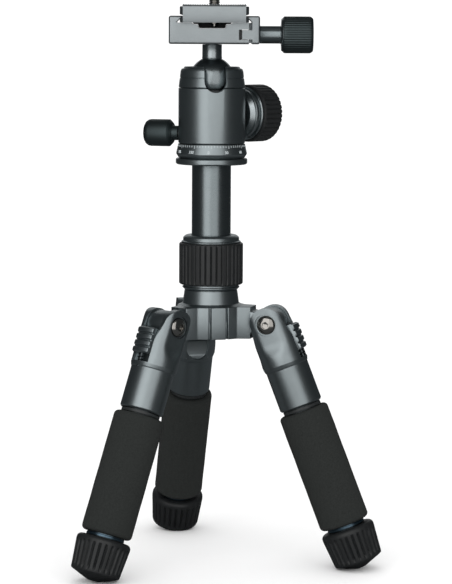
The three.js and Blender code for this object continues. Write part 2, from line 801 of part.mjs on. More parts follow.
function clampJaw() {
  const edge = 0.7;
  const tongueLow = clampBottom + TONGUE_LOW;
  const tongueEnd = jawInner - TONGUE_LENGTH;
  const made = bar(
    [
      [jawInner, clampBottom],
      [clampHalf - edge, clampBottom],
      [clampHalf, clampBottom + edge],
      [clampHalf, clampTop - edge],
      [clampHalf - edge, clampTop],
      [jawTip, clampTop],
      [jawInner, flankFoot],
      [jawInner, tongueLow + TONGUE_HEIGHT],
      [tongueEnd, tongueLow + TONGUE_HEIGHT],
      [tongueEnd, tongueLow],
      [jawInner, tongueLow],
    ],
    CLAMP_DEPTH,
  );
  const pinHoles = [-1, 1].map((side) =>
    crossHole(GUIDE_PIN_RADIUS + GAP, tongueEnd - 1, clampHalf - 1.2, (side * GUIDE_PIN_SPACING) / 2),
  );
  return pinHoles
    .concat(crossHole(CLAMP_SCREW_RADIUS + GAP, tongueEnd - 1, clampHalf + 1, 0))
    .reduce((jaw, hole) => jaw.subtract(hole), made);
}

function guidePin(side) {
  const start = stemSide() + JAW_TRAVEL;
  const made = rod(GUIDE_PIN_RADIUS, start, clampHalf - 1.2 - GAP, FINE);
  return along(made, X_AXIS, new THREE.Vector3(0, (side * GUIDE_PIN_SPACING) / 2, clampScrewZ));
}

function clampKnob() {
  const inner = clampHalf + GAP;
  const body = inner + CLAMP_HUB_LENGTH;
  const outer = body + CLAMP_KNOB_LENGTH;
  const bore = CLAMP_SCREW_RADIUS + GAP;
  const made = revolve([
    [0, outer - 7],
    [bore, outer - 7],
    [bore, inner],
    [CLAMP_HUB_RADIUS, inner],
    [CLAMP_HUB_RADIUS, body - 0.4],
    [CLAMP_KNOB_RADIUS - 1.6, body],
    [CLAMP_KNOB_RADIUS, body + 1.6],
    [CLAMP_KNOB_RADIUS, outer - 1.4],
    [CLAMP_KNOB_RADIUS - 1.1, outer],
    [0, outer],
  ]);
  return along(made, X_AXIS, new THREE.Vector3(0, 0, clampScrewZ));
}

function clampScrew() {
  const outer = clampHalf + GAP + CLAMP_HUB_LENGTH + CLAMP_KNOB_LENGTH;
  const made = rod(CLAMP_SCREW_RADIUS, stemSide() + JAW_TRAVEL, outer - 7 - GAP);
  return along(made, X_AXIS, new THREE.Vector3(0, 0, clampScrewZ));
}

function plate() {
  const neckHalf = plateHalf - DOVETAIL_CUT;
  const edge = 0.5;
  const right = [
    [plateHalf - edge, plateBottom],
    [plateHalf, plateBottom + edge],
    [plateHalf, plateBottom + DOVETAIL_LIP],
    [neckHalf, plateFlankTop],
    [plateHalf, plateFlankTop + 0.6],
    [plateHalf, plateTop - edge],
    [plateHalf - edge, plateTop],
  ];
  const left = right.map(([x, z]) => [-x, z]).reverse();
  const hole = rod(CAMERA_SCREW_RADIUS + GAP, plateBottom - 1, plateTop + 1);
  const headRoom = rod(
    CAMERA_SCREW_HEAD_RADIUS + GAP,
    plateBottom - 1,
    plateBottom + CAMERA_SCREW_HEAD_HEIGHT + 2 * GAP,
    ROUND,
  );
  return bar([...right, ...left], PLATE_DEPTH).subtract(hole).subtract(headRoom);
}

function platePad() {
  const x = plateHalf - PAD_MARGIN;
  const y = PLATE_DEPTH / 2 - PAD_MARGIN;
  const hole = rod(CAMERA_SCREW_RADIUS + 3 * GAP, padBottom - 1, padTop + 1);
  return block([-x, -y, padBottom], [x, y, padTop]).subtract(hole);
}

function cameraScrew() {
  const bottom = plateBottom + GAP;
  const headTop = bottom + CAMERA_SCREW_HEAD_HEIGHT;
  const top = padTop + CAMERA_SCREW_PROUD;
  const made = revolve(
    [
      [0, bottom],
      [CAMERA_SCREW_HEAD_RADIUS, bottom],
      [CAMERA_SCREW_HEAD_RADIUS, headTop],
      [CAMERA_SCREW_RADIUS, headTop],
      [CAMERA_SCREW_RADIUS, top - 0.8],
      [CAMERA_SCREW_RADIUS - 0.7, top],
      [0, top],
    ],
    ROUND,
  );
  const slot = block(
    [-CAMERA_SCREW_HEAD_RADIUS - 1, -0.9, bottom - 1],
    [CAMERA_SCREW_HEAD_RADIUS + 1, 0.9, bottom + 1.1],
  );
  return made.subtract(slot);
}

function centreScrew() {
  const seat = centreHeadBottom();
  const top = seat + CENTRE_SCREW_HEAD_HEIGHT;
  return revolve(
    [
      [0, neckShoulder - 4.2],
      [CENTRE_SCREW_RADIUS, neckShoulder - 4.2],
      [CENTRE_SCREW_RADIUS, seat],
      [CENTRE_SCREW_HEAD_RADIUS, seat],
      [CENTRE_SCREW_HEAD_RADIUS, top],
      [0, top],
    ],
    FINE,
  ).translate([-CLAMP_OFFSET, 0, 0]);
}

// ---- Leg: drawn with its pivot axis along Y at the origin, hanging down -Z ----

function shoulder() {
  const bore = LEG_TUBE_RADIUS + GAP;
  const socket = SHOULDER_LENGTH - TUBE_INSERT - GAP;
  const barrelTop = SHOULDER_WAIST + SHOULDER_STEP;
  const turned = revolve([
    [0, -socket],
    [bore, -socket],
    [bore, -SHOULDER_LENGTH],
    [barrelRadius - 0.8, -SHOULDER_LENGTH],
    [barrelRadius, -SHOULDER_LENGTH + 0.8],
    [barrelRadius, -barrelTop],
    [shoulderRadius, -SHOULDER_WAIST],
    [shoulderRadius, EAR_RADIUS + 1],
    [0, EAR_RADIUS + 1],
  ]);
  const wide = shoulderRadius + 1;
  const side = [
    [-wide, -SHOULDER_LENGTH - 1],
    [wide, -SHOULDER_LENGTH - 1],
    [wide, -SLOT_DEPTH - 1.5],
    ...arc(0, 0, EAR_RADIUS, 0, 180, 10),
    [-wide, -SLOT_DEPTH - 1.5],
  ];
  const half = shoulderFlat / 2;
  const flats = [-1, 1].map((way) =>
    block(
      [-wide, Math.min(way * half, way * wide), -SLOT_DEPTH],
      [wide, Math.max(way * half, way * wide), EAR_RADIUS + 2],
    ),
  );
  const cuts = flats.concat(forkSlot(), pivotHoles(), lockPinHole(0));
  return cuts.reduce((made, cut) => made.subtract(cut), turned.intersect(bar(side, 2 * wide)));
}

// The fork's slot: square at the lock's side, round at the inner side.
function forkSlot() {
  const half = slotWidth / 2;
  const wide = shoulderRadius + 2;
  const roundZ = -SLOT_DEPTH + half;
  const open = block([-wide, -half, roundZ], [wide, half, EAR_RADIUS + 2]);
  const square = block([0, -half, -SLOT_DEPTH], [wide, half, roundZ + 1]);
  const end = along(rod(half, -wide, 0.5), X_AXIS, new THREE.Vector3(0, 0, roundZ));
  return open.add(square).add(end);
}

function pivotHoles() {
  const half = shoulderFlat / 2;
  const through = rod(BOLT_RADIUS + GAP, -half - 1, half + 1);
  const deep = rod(counterboreRadius, half - COUNTERBORE_DEPTH, half + 2);
  const other = rod(counterboreRadius, -half - 2, -half + COUNTERBORE_DEPTH);
  return along(through.add(deep).add(other), Y_AXIS);
}

const lockPinX = (lockInner + lockOuter) / 2 - 0.9;
const lockPinTop = LOCK_TOP + 3 + LOCK_TRAVEL + GAP;

function lockPinHole(travel) {
  const hole = rod(LOCK_PIN_RADIUS + GAP, -SLOT_DEPTH - 3 - GAP, -(LOCK_TOP + 3) - travel, FINE);
  return hole.translate([lockPinX, 0, 0]);
}

function lockSlide() {
  const bottom = LOCK_TOP + LOCK_LENGTH;
  const pitch = LOCK_LENGTH / LOCK_RIBS;
  const ribs = Array.from({ length: LOCK_RIBS }, (_, i) => {
    const low = -bottom + pitch * i;
    return [
      [lockOuter - 1.1, low],
      [lockOuter, low + 0.9],
      [lockOuter, low + pitch - 0.9],
      [lockOuter - 1.1, low + pitch],
    ];
  }).flat();
  const unique = ribs.filter(([, z], i) => i === 0 || Math.abs(z - ribs[i - 1][1]) > 1e-6);
  const outline = [[lockInner, -bottom], ...unique, [lockInner, -LOCK_TOP]];
  return bar(outline, LUG_WIDTH).subtract(lockPinHole(0));
}

function lockPin() {
  const made = rod(LOCK_PIN_RADIUS, -SLOT_DEPTH - 3, -lockPinTop, FINE);
  return made.translate([lockPinX, 0, 0]);
}

// A domed hexagon-socket head, drawn head up on +Z with its seat at the given height.
function domedHead(seat) {
  return [
    [BOLT_HEAD_RADIUS, seat],
    [BOLT_HEAD_RADIUS - 0.5, seat + BOLT_HEAD_HEIGHT * 0.45],
    [BOLT_HEAD_RADIUS * 0.7, seat + BOLT_HEAD_HEIGHT * 0.85],
    [BOLT_HEAD_RADIUS * 0.4, seat + BOLT_HEAD_HEIGHT],
    [0, seat + BOLT_HEAD_HEIGHT],
  ];
}

const headSeat = shoulderFlat / 2 - COUNTERBORE_DEPTH + 0.1;
const nutEnd = -2;

function pivotNut() {
  const bore = BOLT_THREAD_RADIUS + GAP;
  const made = revolve(
    [[0, 6], [bore, 6], [bore, nutEnd], [BOLT_RADIUS, nutEnd], [BOLT_RADIUS, headSeat], ...domedHead(headSeat)],
    FINE,
  );
  return along(made, Y_AXIS);
}

function pivotBolt() {
  const shank = -nutEnd + GAP;
  const made = revolve(
    [
      [0, -5.5],
      [BOLT_THREAD_RADIUS, -5.5],
      [BOLT_THREAD_RADIUS, shank],
      [BOLT_RADIUS, shank],
      [BOLT_RADIUS, headSeat],
      ...domedHead(headSeat),
    ],
    FINE,
  );
  return along(made, Y_AXIS.clone().negate());
}

function sleeve(inner, outer, start, end) {
  return revolve([[inner, -end], [outer, -end], [outer, -start], [inner, -start]]);
}

function gripSleeve() {
  const inner = LEG_TUBE_RADIUS + GAP;
  const end = gripStart + GRIP_LENGTH;
  const round = GRIP_END_ROUND;
  const centre = gripRadius - round;
  return revolve([
    [inner, -end],
    ...arc(centre, -end + round, round, -90, 0, 2),
    ...arc(centre, -gripStart - round, round, 0, 90, 2),
    [inner, -gripStart],
  ]);
}

function foot() {
  const bore = LEG_TUBE_RADIUS + GAP;
  const floor = tubeEnd + GAP;
  return revolve([
    [0, -footTip],
    [FOOT_TIP_RADIUS, -footTip],
    [footRimRadius, -footRim],
    [footRadius - 0.2, -footStart - 5.5],
    [footRadius, -footStart - 3],
    [footRadius - 0.6, -footStart - 1],
    [footRadius - 2, -footStart],
    [bore, -footStart],
    [bore, -floor],
    [0, -floor],
  ]);
}

function legGroup(azimuth) {
  const group = new THREE.Group();
  const direction = heading(azimuth);
  group.position.set(PIVOT_RADIUS * direction.x, PIVOT_RADIUS * direction.y, pivotZ);
  group.rotation.set(0, -tilt, radians(azimuth), "ZYX");
  return group;
}

function addLeg(number, azimuth) {
  const leg = legGroup(azimuth);
  const tubeInner = LEG_TUBE_RADIUS - LEG_TUBE_WALL;
  const ringInner = LEG_TUBE_RADIUS + GAP;
  const tubeStart = SHOULDER_LENGTH - TUBE_INSERT;
  const pieces = [
    ["leg_shoulder", shoulder(), "anodised"],
    ["pivot_bolt", pivotBolt(), "steel"],
    ["pivot_nut", pivotNut(), "steel"],
    ["angle_lock_slide", lockSlide(), "anodised"],
    ["angle_lock_pin", lockPin(), "steel"],
    ["leg_tube", sleeve(tubeInner, LEG_TUBE_RADIUS, tubeStart, tubeEnd), "black_anodised"],
    ["grip_top_ring", sleeve(ringInner, topRingRadius, topRingStart, gripStart - GAP), "nylon"],
    ["foam_grip", gripSleeve(), "foam"],
    ["foot_ring", sleeve(ringInner, lowerRingRadius, lowerRingStart, footStart - GAP), "blue_anodised"],
    ["rubber_foot", foot(), "rubber"],
  ];
  for (const [name, made, finish] of pieces) {
    place(`${name}_${number}`, made, finish, leg);
  }
  tripod.add(leg);
}

// ---- Assembly ----

legAzimuths.forEach((azimuth, i) => addLeg(i + 1, azimuth));

place("crown", crown(), "anodised");
place("column_collet", collet(), "nylon");
place("twist_collar", collar(), "anodised");
place("twist_collar_grip", collarGrip(), "rubber");
place("column_tube", columnTube(), "anodised");
place("column_end_plug", columnPlug(), "nylon");
place("head_platform", platform(), "anodised");
place("head_stud", rod(STUD_RADIUS, baseTop - 1 - STUD_LENGTH, baseTop - 1), "steel");

place("pan_base", panBase(), "anodised");
place("ball_housing", housing(), "anodised");
place("housing_cap", housingCap(), "anodised");
place("ball_cup", ballCup(), "nylon");
place("ball", ball(), "black_anodised");
place("neck", neck(), "anodised");
place("main_knob_hub", mainKnobHub(), "anodised");
place("main_knob_grip", mainKnobGrip(), "rubber");
place("main_knob_shaft", mainKnobShaft(), "steel");
place("pan_knob", panKnob(), "anodised");
place("pan_lock_screw", panScrew(), "steel");

const clamp = new THREE.Group();
clamp.position.x = CLAMP_OFFSET;
tripod.add(clamp);
place("clamp_base", clampBase(), "silver_anodised", clamp);
place("clamp_jaw", clampJaw(), "silver_anodised", clamp);
place("jaw_guide_pin_front", guidePin(-1), "steel", clamp);
place("jaw_guide_pin_rear", guidePin(1), "steel", clamp);
place("clamp_knob", clampKnob(), "anodised", clamp);
place("clamp_screw", clampScrew(), "steel", clamp);
place("clamp_centre_screw", centreScrew(), "steel", clamp);
place("camera_plate", plate(), "silver_anodised", clamp);
place("plate_pad", platePad(), "rubber", clamp);
place("camera_screw", cameraScrew(), "steel", clamp);

tripod.updateMatrixWorld(true);
const box = new THREE.Box3().setFromObject(tripod, true);
const middle = box.getCenter(new THREE.Vector3());
const model = new THREE.Group();
tripod.position.set(-middle.x, -middle.y, -box.min.z);
model.add(tripod);

export default model;
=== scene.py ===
"""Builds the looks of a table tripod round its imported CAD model, laid out as an add-on."""

import json
import math

import bmesh
import bpy
from mathutils import Matrix, Vector

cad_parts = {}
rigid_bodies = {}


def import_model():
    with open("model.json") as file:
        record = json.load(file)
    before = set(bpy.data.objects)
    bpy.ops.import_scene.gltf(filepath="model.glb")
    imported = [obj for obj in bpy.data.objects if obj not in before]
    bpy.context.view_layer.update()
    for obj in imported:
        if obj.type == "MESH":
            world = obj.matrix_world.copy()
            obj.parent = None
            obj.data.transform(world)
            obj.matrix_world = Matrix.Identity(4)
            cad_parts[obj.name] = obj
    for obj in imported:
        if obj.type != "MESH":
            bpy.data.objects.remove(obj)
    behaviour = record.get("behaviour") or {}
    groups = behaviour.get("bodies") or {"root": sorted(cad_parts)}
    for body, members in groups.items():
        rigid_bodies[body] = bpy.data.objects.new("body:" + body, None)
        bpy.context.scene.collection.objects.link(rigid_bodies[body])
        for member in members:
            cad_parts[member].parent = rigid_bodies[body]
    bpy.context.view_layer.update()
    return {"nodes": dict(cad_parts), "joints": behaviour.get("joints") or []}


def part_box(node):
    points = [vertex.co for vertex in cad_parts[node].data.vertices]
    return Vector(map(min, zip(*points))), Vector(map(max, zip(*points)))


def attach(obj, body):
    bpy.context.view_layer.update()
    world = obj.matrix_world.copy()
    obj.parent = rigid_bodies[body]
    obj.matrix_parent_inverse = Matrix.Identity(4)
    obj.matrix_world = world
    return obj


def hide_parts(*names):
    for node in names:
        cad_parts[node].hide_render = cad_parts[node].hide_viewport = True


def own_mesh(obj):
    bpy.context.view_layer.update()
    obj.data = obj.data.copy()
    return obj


bl_info = {
    "name": "Table tripod",
    "version": (1, 0, 0),
    "blender": (4, 5, 0),
    "location": "View3D > Sidebar > Tripod",
    "description": "Builds the pieces of a table tripod with a ball head round its CAD model",
    "category": "Add Mesh",
}

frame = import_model()

MM = 0.001
LEGS = (1, 2, 3)
ROUND = 128  # facets round a turned piece
SMALL = 48  # facets round a small turned piece
RECESS_FLOOR = 3.75  # from the clamp base's top down to the face that the plate slides on
WIRE_SIDES = 8
TURN_STEPS = 20
FORK_RADIUS = 13.1
FORK_STEP = -24.1  # the level below the pivot where the shoulder narrows to its sleeve
FORK_FLAT = 11.4  # from the middle to the flat on each side of the fork
SLOT_HALF = 6.45
SLOT_END = -17.15  # the middle of the slot's round end
WINDOW_END = 23.6  # the angle lock's window ends this far below the pivot


# ---- Places, measured on the CAD nodes ----


def axes(origin, up, side):
    """A local frame at a point, with +Z along up and +Y along side."""
    z = Vector(up).normalized()
    y = Vector(side).normalized()
    x = y.cross(z)
    place = Matrix((x, y, z)).transposed().to_4x4()
    place.translation = Vector(origin)
    return place


def joint(name):
    return next(j for j in frame["joints"] if j["name"] == name)


def local_box(node, place):
    """A CAD node's lowest and highest corner in a local frame, in mm."""
    inverse = place.inverted()
    points = [inverse @ v.co / MM for v in frame["nodes"][node].data.vertices]
    return tuple(Vector([pick(p[i] for p in points) for i in range(3)]) for pick in (min, max))


def levels(node, place):
    """The heights in mm that a CAD node spans in a local frame."""
    low, high = local_box(node, place)
    return low.z, high.z


def radius(node, place):
    """A CAD node's largest radius in mm about a local frame's +Z."""
    inverse = place.inverted()
    points = (inverse @ v.co for v in frame["nodes"][node].data.vertices)
    return max(math.hypot(p.x, p.y) for p in points) / MM


def middle(node):
    low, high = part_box(node)
    return (low + high) / 2


def on_axis(centre):
    return Matrix.Translation((centre.x, centre.y, 0))


def leg_place(number):
    """A leg's own frame: origin on its pivot, +Z up the leg, +X outwards."""
    pivot = joint(f"leg_{number}_spread")
    pull = joint(f"angle_lock_{number}_pull")
    return axes(pivot["pos_m"], -Vector(pull["axis"]), -Vector(pivot["axis"]))


def knob_place(name):
    """A knob's own frame: +Z outwards along its axis."""
    turn = joint(name)
    outwards = Vector(turn["axis"])
    side = Vector((0, 0, 1)).cross(outwards)
    return axes(turn["pos_m"], outwards, side)


COLUMN = on_axis(middle("column_tube"))
CLAMP = on_axis(middle("camera_plate"))
LEG = {number: leg_place(number) for number in LEGS}
MAIN_KNOB = knob_place("main_lock_turn")
PAN_KNOB = knob_place("pan_lock_turn")
CLAMP_KNOB = knob_place("clamp_knob_turn")


# ---- Mesh tools: outlines are in mm ----


def filleted(corners, steps=4):
    """A closed outline. A corner is (x, y), or (x, y, radius) where it is rounded."""
    points = []
    for i, corner in enumerate(corners):
        here = Vector(corner[:2])
        if len(corner) < 3:
            points.append(here)
            continue
        before = Vector(corners[i - 1][:2]) - here
        after = Vector(corners[(i + 1) % len(corners)][:2]) - here
        half = before.angle(after) / 2
        reach = min(corner[2] / math.tan(half), 0.49 * before.length, 0.49 * after.length)
        size = reach * math.tan(half)
        centre = here + (before.normalized() + after.normalized()).normalized() * size / math.sin(half)
        start = here + before.normalized() * reach - centre
        sweep = start.angle_signed(here + after.normalized() * reach - centre)
        for k in range(steps + 1):
            turn = Matrix.Rotation(-sweep * k / steps, 2)
            points.append(centre + turn @ start)
    return [(p.x, p.y) for p in points]


def arc(centre, height, size, start, end, steps=12):
    """Points on an arc, in degrees from the outward direction."""
    turns = [math.radians(start + (end - start) * i / steps) for i in range(steps + 1)]
    return [(centre + size * math.cos(t), height + size * math.sin(t)) for t in turns]


def mesh_piece(name, made):
    """A new object from a bmesh, its faces turned outwards."""
    bmesh.ops.recalc_face_normals(made, faces=made.faces)
    mesh = bpy.data.meshes.new(name)
    made.to_mesh(mesh)
    made.free()
    piece = bpy.data.objects.new(name, mesh)
    bpy.context.scene.collection.objects.link(piece)
    return piece


def ring_radius(size, sides, turn):
    """The distance to a ring's edge: round, or a polygon with its corners at size."""
    if not sides:
        return size
    part = 2 * math.pi / sides
    return size * math.cos(part / 2) / math.cos(turn % part - part / 2)


def turned(name, outline, facets=ROUND):
    """A solid turned about +Z. The outline runs out along the bottom, up and back in.

    A point is (radius, height), or (radius, height, sides) for a polygon. A radius of
    nought is a pole; an outline with none closes on itself as a ring.
    """
    made = bmesh.new()
    rings = []
    for size, height, *sides in outline:
        if size == 0:
            rings.append([made.verts.new((0, 0, height * MM))])
            continue
        ring = []
        for i in range(facets):
            turn = 2 * math.pi * i / facets
            reach = ring_radius(size, sides[0] if sides else 0, turn) * MM
            ring.append(made.verts.new((reach * math.cos(turn), reach * math.sin(turn), height * MM)))
        rings.append(ring)
    pairs = list(zip(rings, rings[1:]))
    if len(rings[0]) > 1:
        pairs.append((rings[-1], rings[0]))
    for low, high in pairs:
        if len(low) == len(high) == 1:
            continue
        for i in range(facets):
            j = (i + 1) % facets
            corners = [low[i % len(low)], low[j % len(low)], high[j % len(high)], high[i % len(high)]]
            made.faces.new(list(dict.fromkeys(corners)))
    return mesh_piece(name, made)


def prism(name, outline, low, high, along_y=False):
    """An outline extruded up +Z, or along +Y where the outline is (x, z)."""
    made = bmesh.new()

    def ring(level):
        if along_y:
            return [made.verts.new((x * MM, level * MM, y * MM)) for x, y in outline]
        return [made.verts.new((x * MM, y * MM, level * MM)) for x, y in outline]

    near = ring(low)
    far = ring(high)
    made.faces.new(near)
    made.faces.new(far)
    for i in range(len(outline)):
        j = (i + 1) % len(outline)
        made.faces.new([near[i], near[j], far[j], far[i]])
    return mesh_piece(name, made)


def bar(name, outline, low, high):
    return prism(name, outline, low, high, along_y=True)


def slab(name, low, high):
    corners = [(low[0], low[1]), (high[0], low[1]), (high[0], high[1]), (low[0], high[1])]
    return prism(name, corners, low[2], high[2])


def moved(piece, place):
    """Puts the place into the piece's mesh."""
    piece.data.transform(place)
    piece.data.update()
    return piece


def lying(piece, place, direction):
    """Moves a piece made along +Z so that it lies along a direction of a local frame."""
    turn = Vector((0, 0, 1)).rotation_difference(Vector(direction)).to_matrix().to_4x4()
    return moved(piece, place @ turn)


def baked(piece):
    """Turns the piece's modifiers into its plain mesh."""
    graph = bpy.context.evaluated_depsgraph_get()
    mesh = bpy.data.meshes.new_from_object(piece.evaluated_get(graph))
    piece.modifiers.clear()
    piece.data = mesh
    return piece


def combined(piece, others, operation):
    """Joins, cuts or crosses a piece with others, which are then removed."""
    for other in others:
        change = piece.modifiers.new(operation, "BOOLEAN")
        change.operation = operation
        change.solver = "EXACT"
        change.object = other
    baked(piece)
    for other in others:
        bpy.data.objects.remove(other)
    return piece


def joined(name, pieces):
    """One piece from several closed ones, as they are."""
    made = bmesh.new()
    for piece in pieces:
        made.from_mesh(piece.data)
        bpy.data.objects.remove(piece)
    mesh = bpy.data.meshes.new(name)
    made.to_mesh(mesh)
    made.free()
    whole = bpy.data.objects.new(name, mesh)
    bpy.context.scene.collection.objects.link(whole)
    return whole


def edged(piece, width, angle=35, segments=3):
    """Rounds a piece's sharp edges by a width in mm."""
    bevel = piece.modifiers.new("edges", "BEVEL")
    bevel.width = width * MM
    bevel.segments = segments
    bevel.limit_method = "ANGLE"
    bevel.angle_limit = math.radians(angle)
    bevel.use_clamp_overlap = True
    return baked(piece)


def finished(piece, material, body, slot, *nodes):
    """Gives a piece its material and its body, smooths it and hides the CAD nodes that it stands for."""
    piece.data.materials.clear()
    piece.data.materials.append(material)
    smooth(piece.data)
    if nodes:
        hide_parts(*nodes)
    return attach(piece, body)


def smooth(mesh, angle=32):
    mesh.polygons.foreach_set("use_smooth", [True] * len(mesh.polygons))
    mesh.set_sharp_from_angle(angle=math.radians(angle))


# ---- Node tools ----


def node(tree, kind, inputs=None, **settings):
    """Adds a node with its settings. An input takes a value, or another node's output."""
    made = tree.nodes.new(kind)
    for name, value in settings.items():
        setattr(made, name, value)
    for name, value in (inputs or {}).items():
        if isinstance(value, bpy.types.NodeSocket):
            tree.links.new(value, made.inputs[name])
        else:
            made.inputs[name].default_value = value
    return made


def linear(hex_colour):
    """An sRGB hex colour as linear red, green and blue."""
    values = [int(hex_colour[i : i + 2], 16) / 255 for i in (1, 3, 5)]
    return [v / 12.92 if v <= 0.04045 else ((v + 0.055) / 1.055) ** 2.4 for v in values]


def geometry_tree(name, sizes):
    """A geometry tree with a Material input and a number input for each size."""
    tree = bpy.data.node_groups.new(name, "GeometryNodeTree")
    tree.interface.new_socket("Geometry", in_out="INPUT", socket_type="NodeSocketGeometry")
    for size, kind in sizes.items():
        tree.interface.new_socket(size, in_out="INPUT", socket_type=kind)
    tree.interface.new_socket("Material", in_out="INPUT", socket_type="NodeSocketMaterial")
    tree.interface.new_socket("Geometry", in_out="OUTPUT", socket_type="NodeSocketGeometry")
    return tree


def tree_end(tree, geometry, start):
    """Ends a tree in real geometry with its material."""
    real = node(tree, "GeometryNodeRealizeInstances", {"Geometry": geometry})
    painted = node(
        tree,
        "GeometryNodeSetMaterial",
        {"Geometry": real.outputs[0], "Material": start.outputs["Material"]},
    )
    node(tree, "NodeGroupOutput", {"Geometry": painted.outputs[0]})


def grown(piece, tree, **values):
    """Runs a geometry tree on a piece and keeps the result as its plain mesh."""
    modifier = piece.modifiers.new(tree.name, "NODES")
    modifier.node_group = tree
    sockets = {s.name: s.identifier for s in tree.interface.items_tree if s.in_out == "INPUT"}
    for name, value in values.items():
        modifier[sockets[name.replace("_", " ")]] = value
    return baked(piece)


def ribs_tree():
    """Cuts grooves into a turned piece, round it or along a helix."""
    number = "NodeSocketFloat"
    sizes = {
        "Count": number,
        "Depth": number,
        "Land": number,
        "Low": number,
        "High": number,
        "Fade": number,
        "Core": number,
        "Twist": number,
    }
    tree = geometry_tree("Ribs", sizes)
    start = node(tree, "NodeGroupInput")
    value = start.outputs
    position = node(tree, "GeometryNodeInputPosition")
    place = node(tree, "ShaderNodeSeparateXYZ", {0: position.outputs[0]}).outputs

    def maths(operation, first, second=0.0):
        return node(tree, "ShaderNodeMath", {0: first, 1: second}, operation=operation).outputs[0]

    def ramp(source, low, high):
        inputs = {"Value": source, "From Min": low, "From Max": high}
        kind = "SMOOTHSTEP"
        return node(tree, "ShaderNodeMapRange", inputs, interpolation_type=kind).outputs[0]

    turns = maths("DIVIDE", maths("ARCTAN2", place["Y"], place["X"]), 2 * math.pi)
    along = maths("MULTIPLY", place["Z"], value["Twist"])
    phase = maths("FRACT", maths("ADD", maths("MULTIPLY", turns, value["Count"]), along))
    from_middle = maths("MULTIPLY", maths("ABSOLUTE", maths("SUBTRACT", phase, 0.5)), 2)
    groove = ramp(from_middle, value["Land"], 1.0)
    starts = ramp(place["Z"], value["Low"], maths("ADD", value["Low"], value["Fade"]))
    ends = ramp(place["Z"], maths("SUBTRACT", value["High"], value["Fade"]), value["High"])
    inside = maths("MULTIPLY", starts, maths("SUBTRACT", 1.0, ends))
    flat = node(tree, "ShaderNodeVectorMath", {0: position.outputs[0], 1: (1, 1, 0)}, operation="MULTIPLY")
    reach = node(tree, "ShaderNodeVectorMath", {0: flat.outputs[0]}, operation="LENGTH").outputs["Value"]
    outside = maths("GREATER_THAN", reach, value["Core"])
    depth = maths("MULTIPLY", maths("MULTIPLY", groove, value["Depth"]), maths("MULTIPLY", inside, outside))
    share = maths("DIVIDE", depth, maths("MAXIMUM", reach, 1e-5))
    offset = node(
        tree,
        "ShaderNodeVectorMath",
        {0: flat.outputs[0], "Scale": maths("MULTIPLY", share, -1)},
        operation="SCALE",
    )
    cut = node(
        tree,
        "GeometryNodeSetPosition",
        {"Geometry": value["Geometry"], "Offset": offset.outputs[0]},
    )
    tree_end(tree, cut.outputs[0], start)
    return tree


def marks_tree():
    """Sets equal marks round a circle, every so many of them longer."""
    number = "NodeSocketFloat"
    sizes = {
        "Count": "NodeSocketInt",
        "Radius": number,
        "Height": number,
        "Lean": number,
        "Width": number,
        "Length": number,
        "Thickness": number,
        "Long Every": "NodeSocketInt",
        "Long Share": number,
    }
    tree = geometry_tree("Marks round a circle", sizes)
    start = node(tree, "NodeGroupInput")
    value = start.outputs
    circle = node(tree, "GeometryNodeMeshCircle", {"Vertices": value["Count"], "Radius": value["Radius"]})
    height = node(tree, "ShaderNodeCombineXYZ", {"Z": value["Height"]})
    lift = {"Geometry": circle.outputs[0], "Translation": height.outputs[0]}
    raised = node(tree, "GeometryNodeTransform", lift)
    position = node(tree, "GeometryNodeInputPosition")
    place = node(tree, "ShaderNodeSeparateXYZ", {0: position.outputs[0]}).outputs
    turn = node(tree, "ShaderNodeMath", {0: place["Y"], 1: place["X"]}, operation="ARCTAN2")
    rotation = node(tree, "ShaderNodeCombineXYZ", {"Y": value["Lean"], "Z": turn.outputs[0]})
    index = node(tree, "GeometryNodeInputIndex")
    rest = node(tree, "ShaderNodeMath", {0: index.outputs[0], 1: value["Long Every"]}, operation="MODULO")
    longer = node(tree, "ShaderNodeMath", {0: rest.outputs[0], 1: 0.5}, operation="LESS_THAN")
    stretch = node(
        tree,
        "ShaderNodeMapRange",
        {"Value": longer.outputs[0], "To Min": 1.0, "To Max": value["Long Share"]},
    )
    scale = node(tree, "ShaderNodeCombineXYZ", {"X": 1.0, "Y": 1.0, "Z": stretch.outputs[0]})
    size = node(
        tree,
        "ShaderNodeCombineXYZ",
        {"X": value["Thickness"], "Y": value["Width"], "Z": value["Length"]},
    )
    mark = node(tree, "GeometryNodeMeshCube", {"Size": size.outputs[0]})
    half = node(tree, "ShaderNodeMath", {0: value["Length"], 1: -0.5}, operation="MULTIPLY")
    drop = node(tree, "ShaderNodeCombineXYZ", {"Z": half.outputs[0]})
    hung = node(tree, "GeometryNodeTransform", {"Geometry": mark.outputs[0], "Translation": drop.outputs[0]})
    spread = node(
        tree,
        "GeometryNodeInstanceOnPoints",
        {
            "Points": raised.outputs[0],
            "Instance": hung.outputs[0],
            "Rotation": rotation.outputs[0],
            "Scale": scale.outputs[0],
        },
    )
    tree_end(tree, spread.outputs[0], start)
    return tree


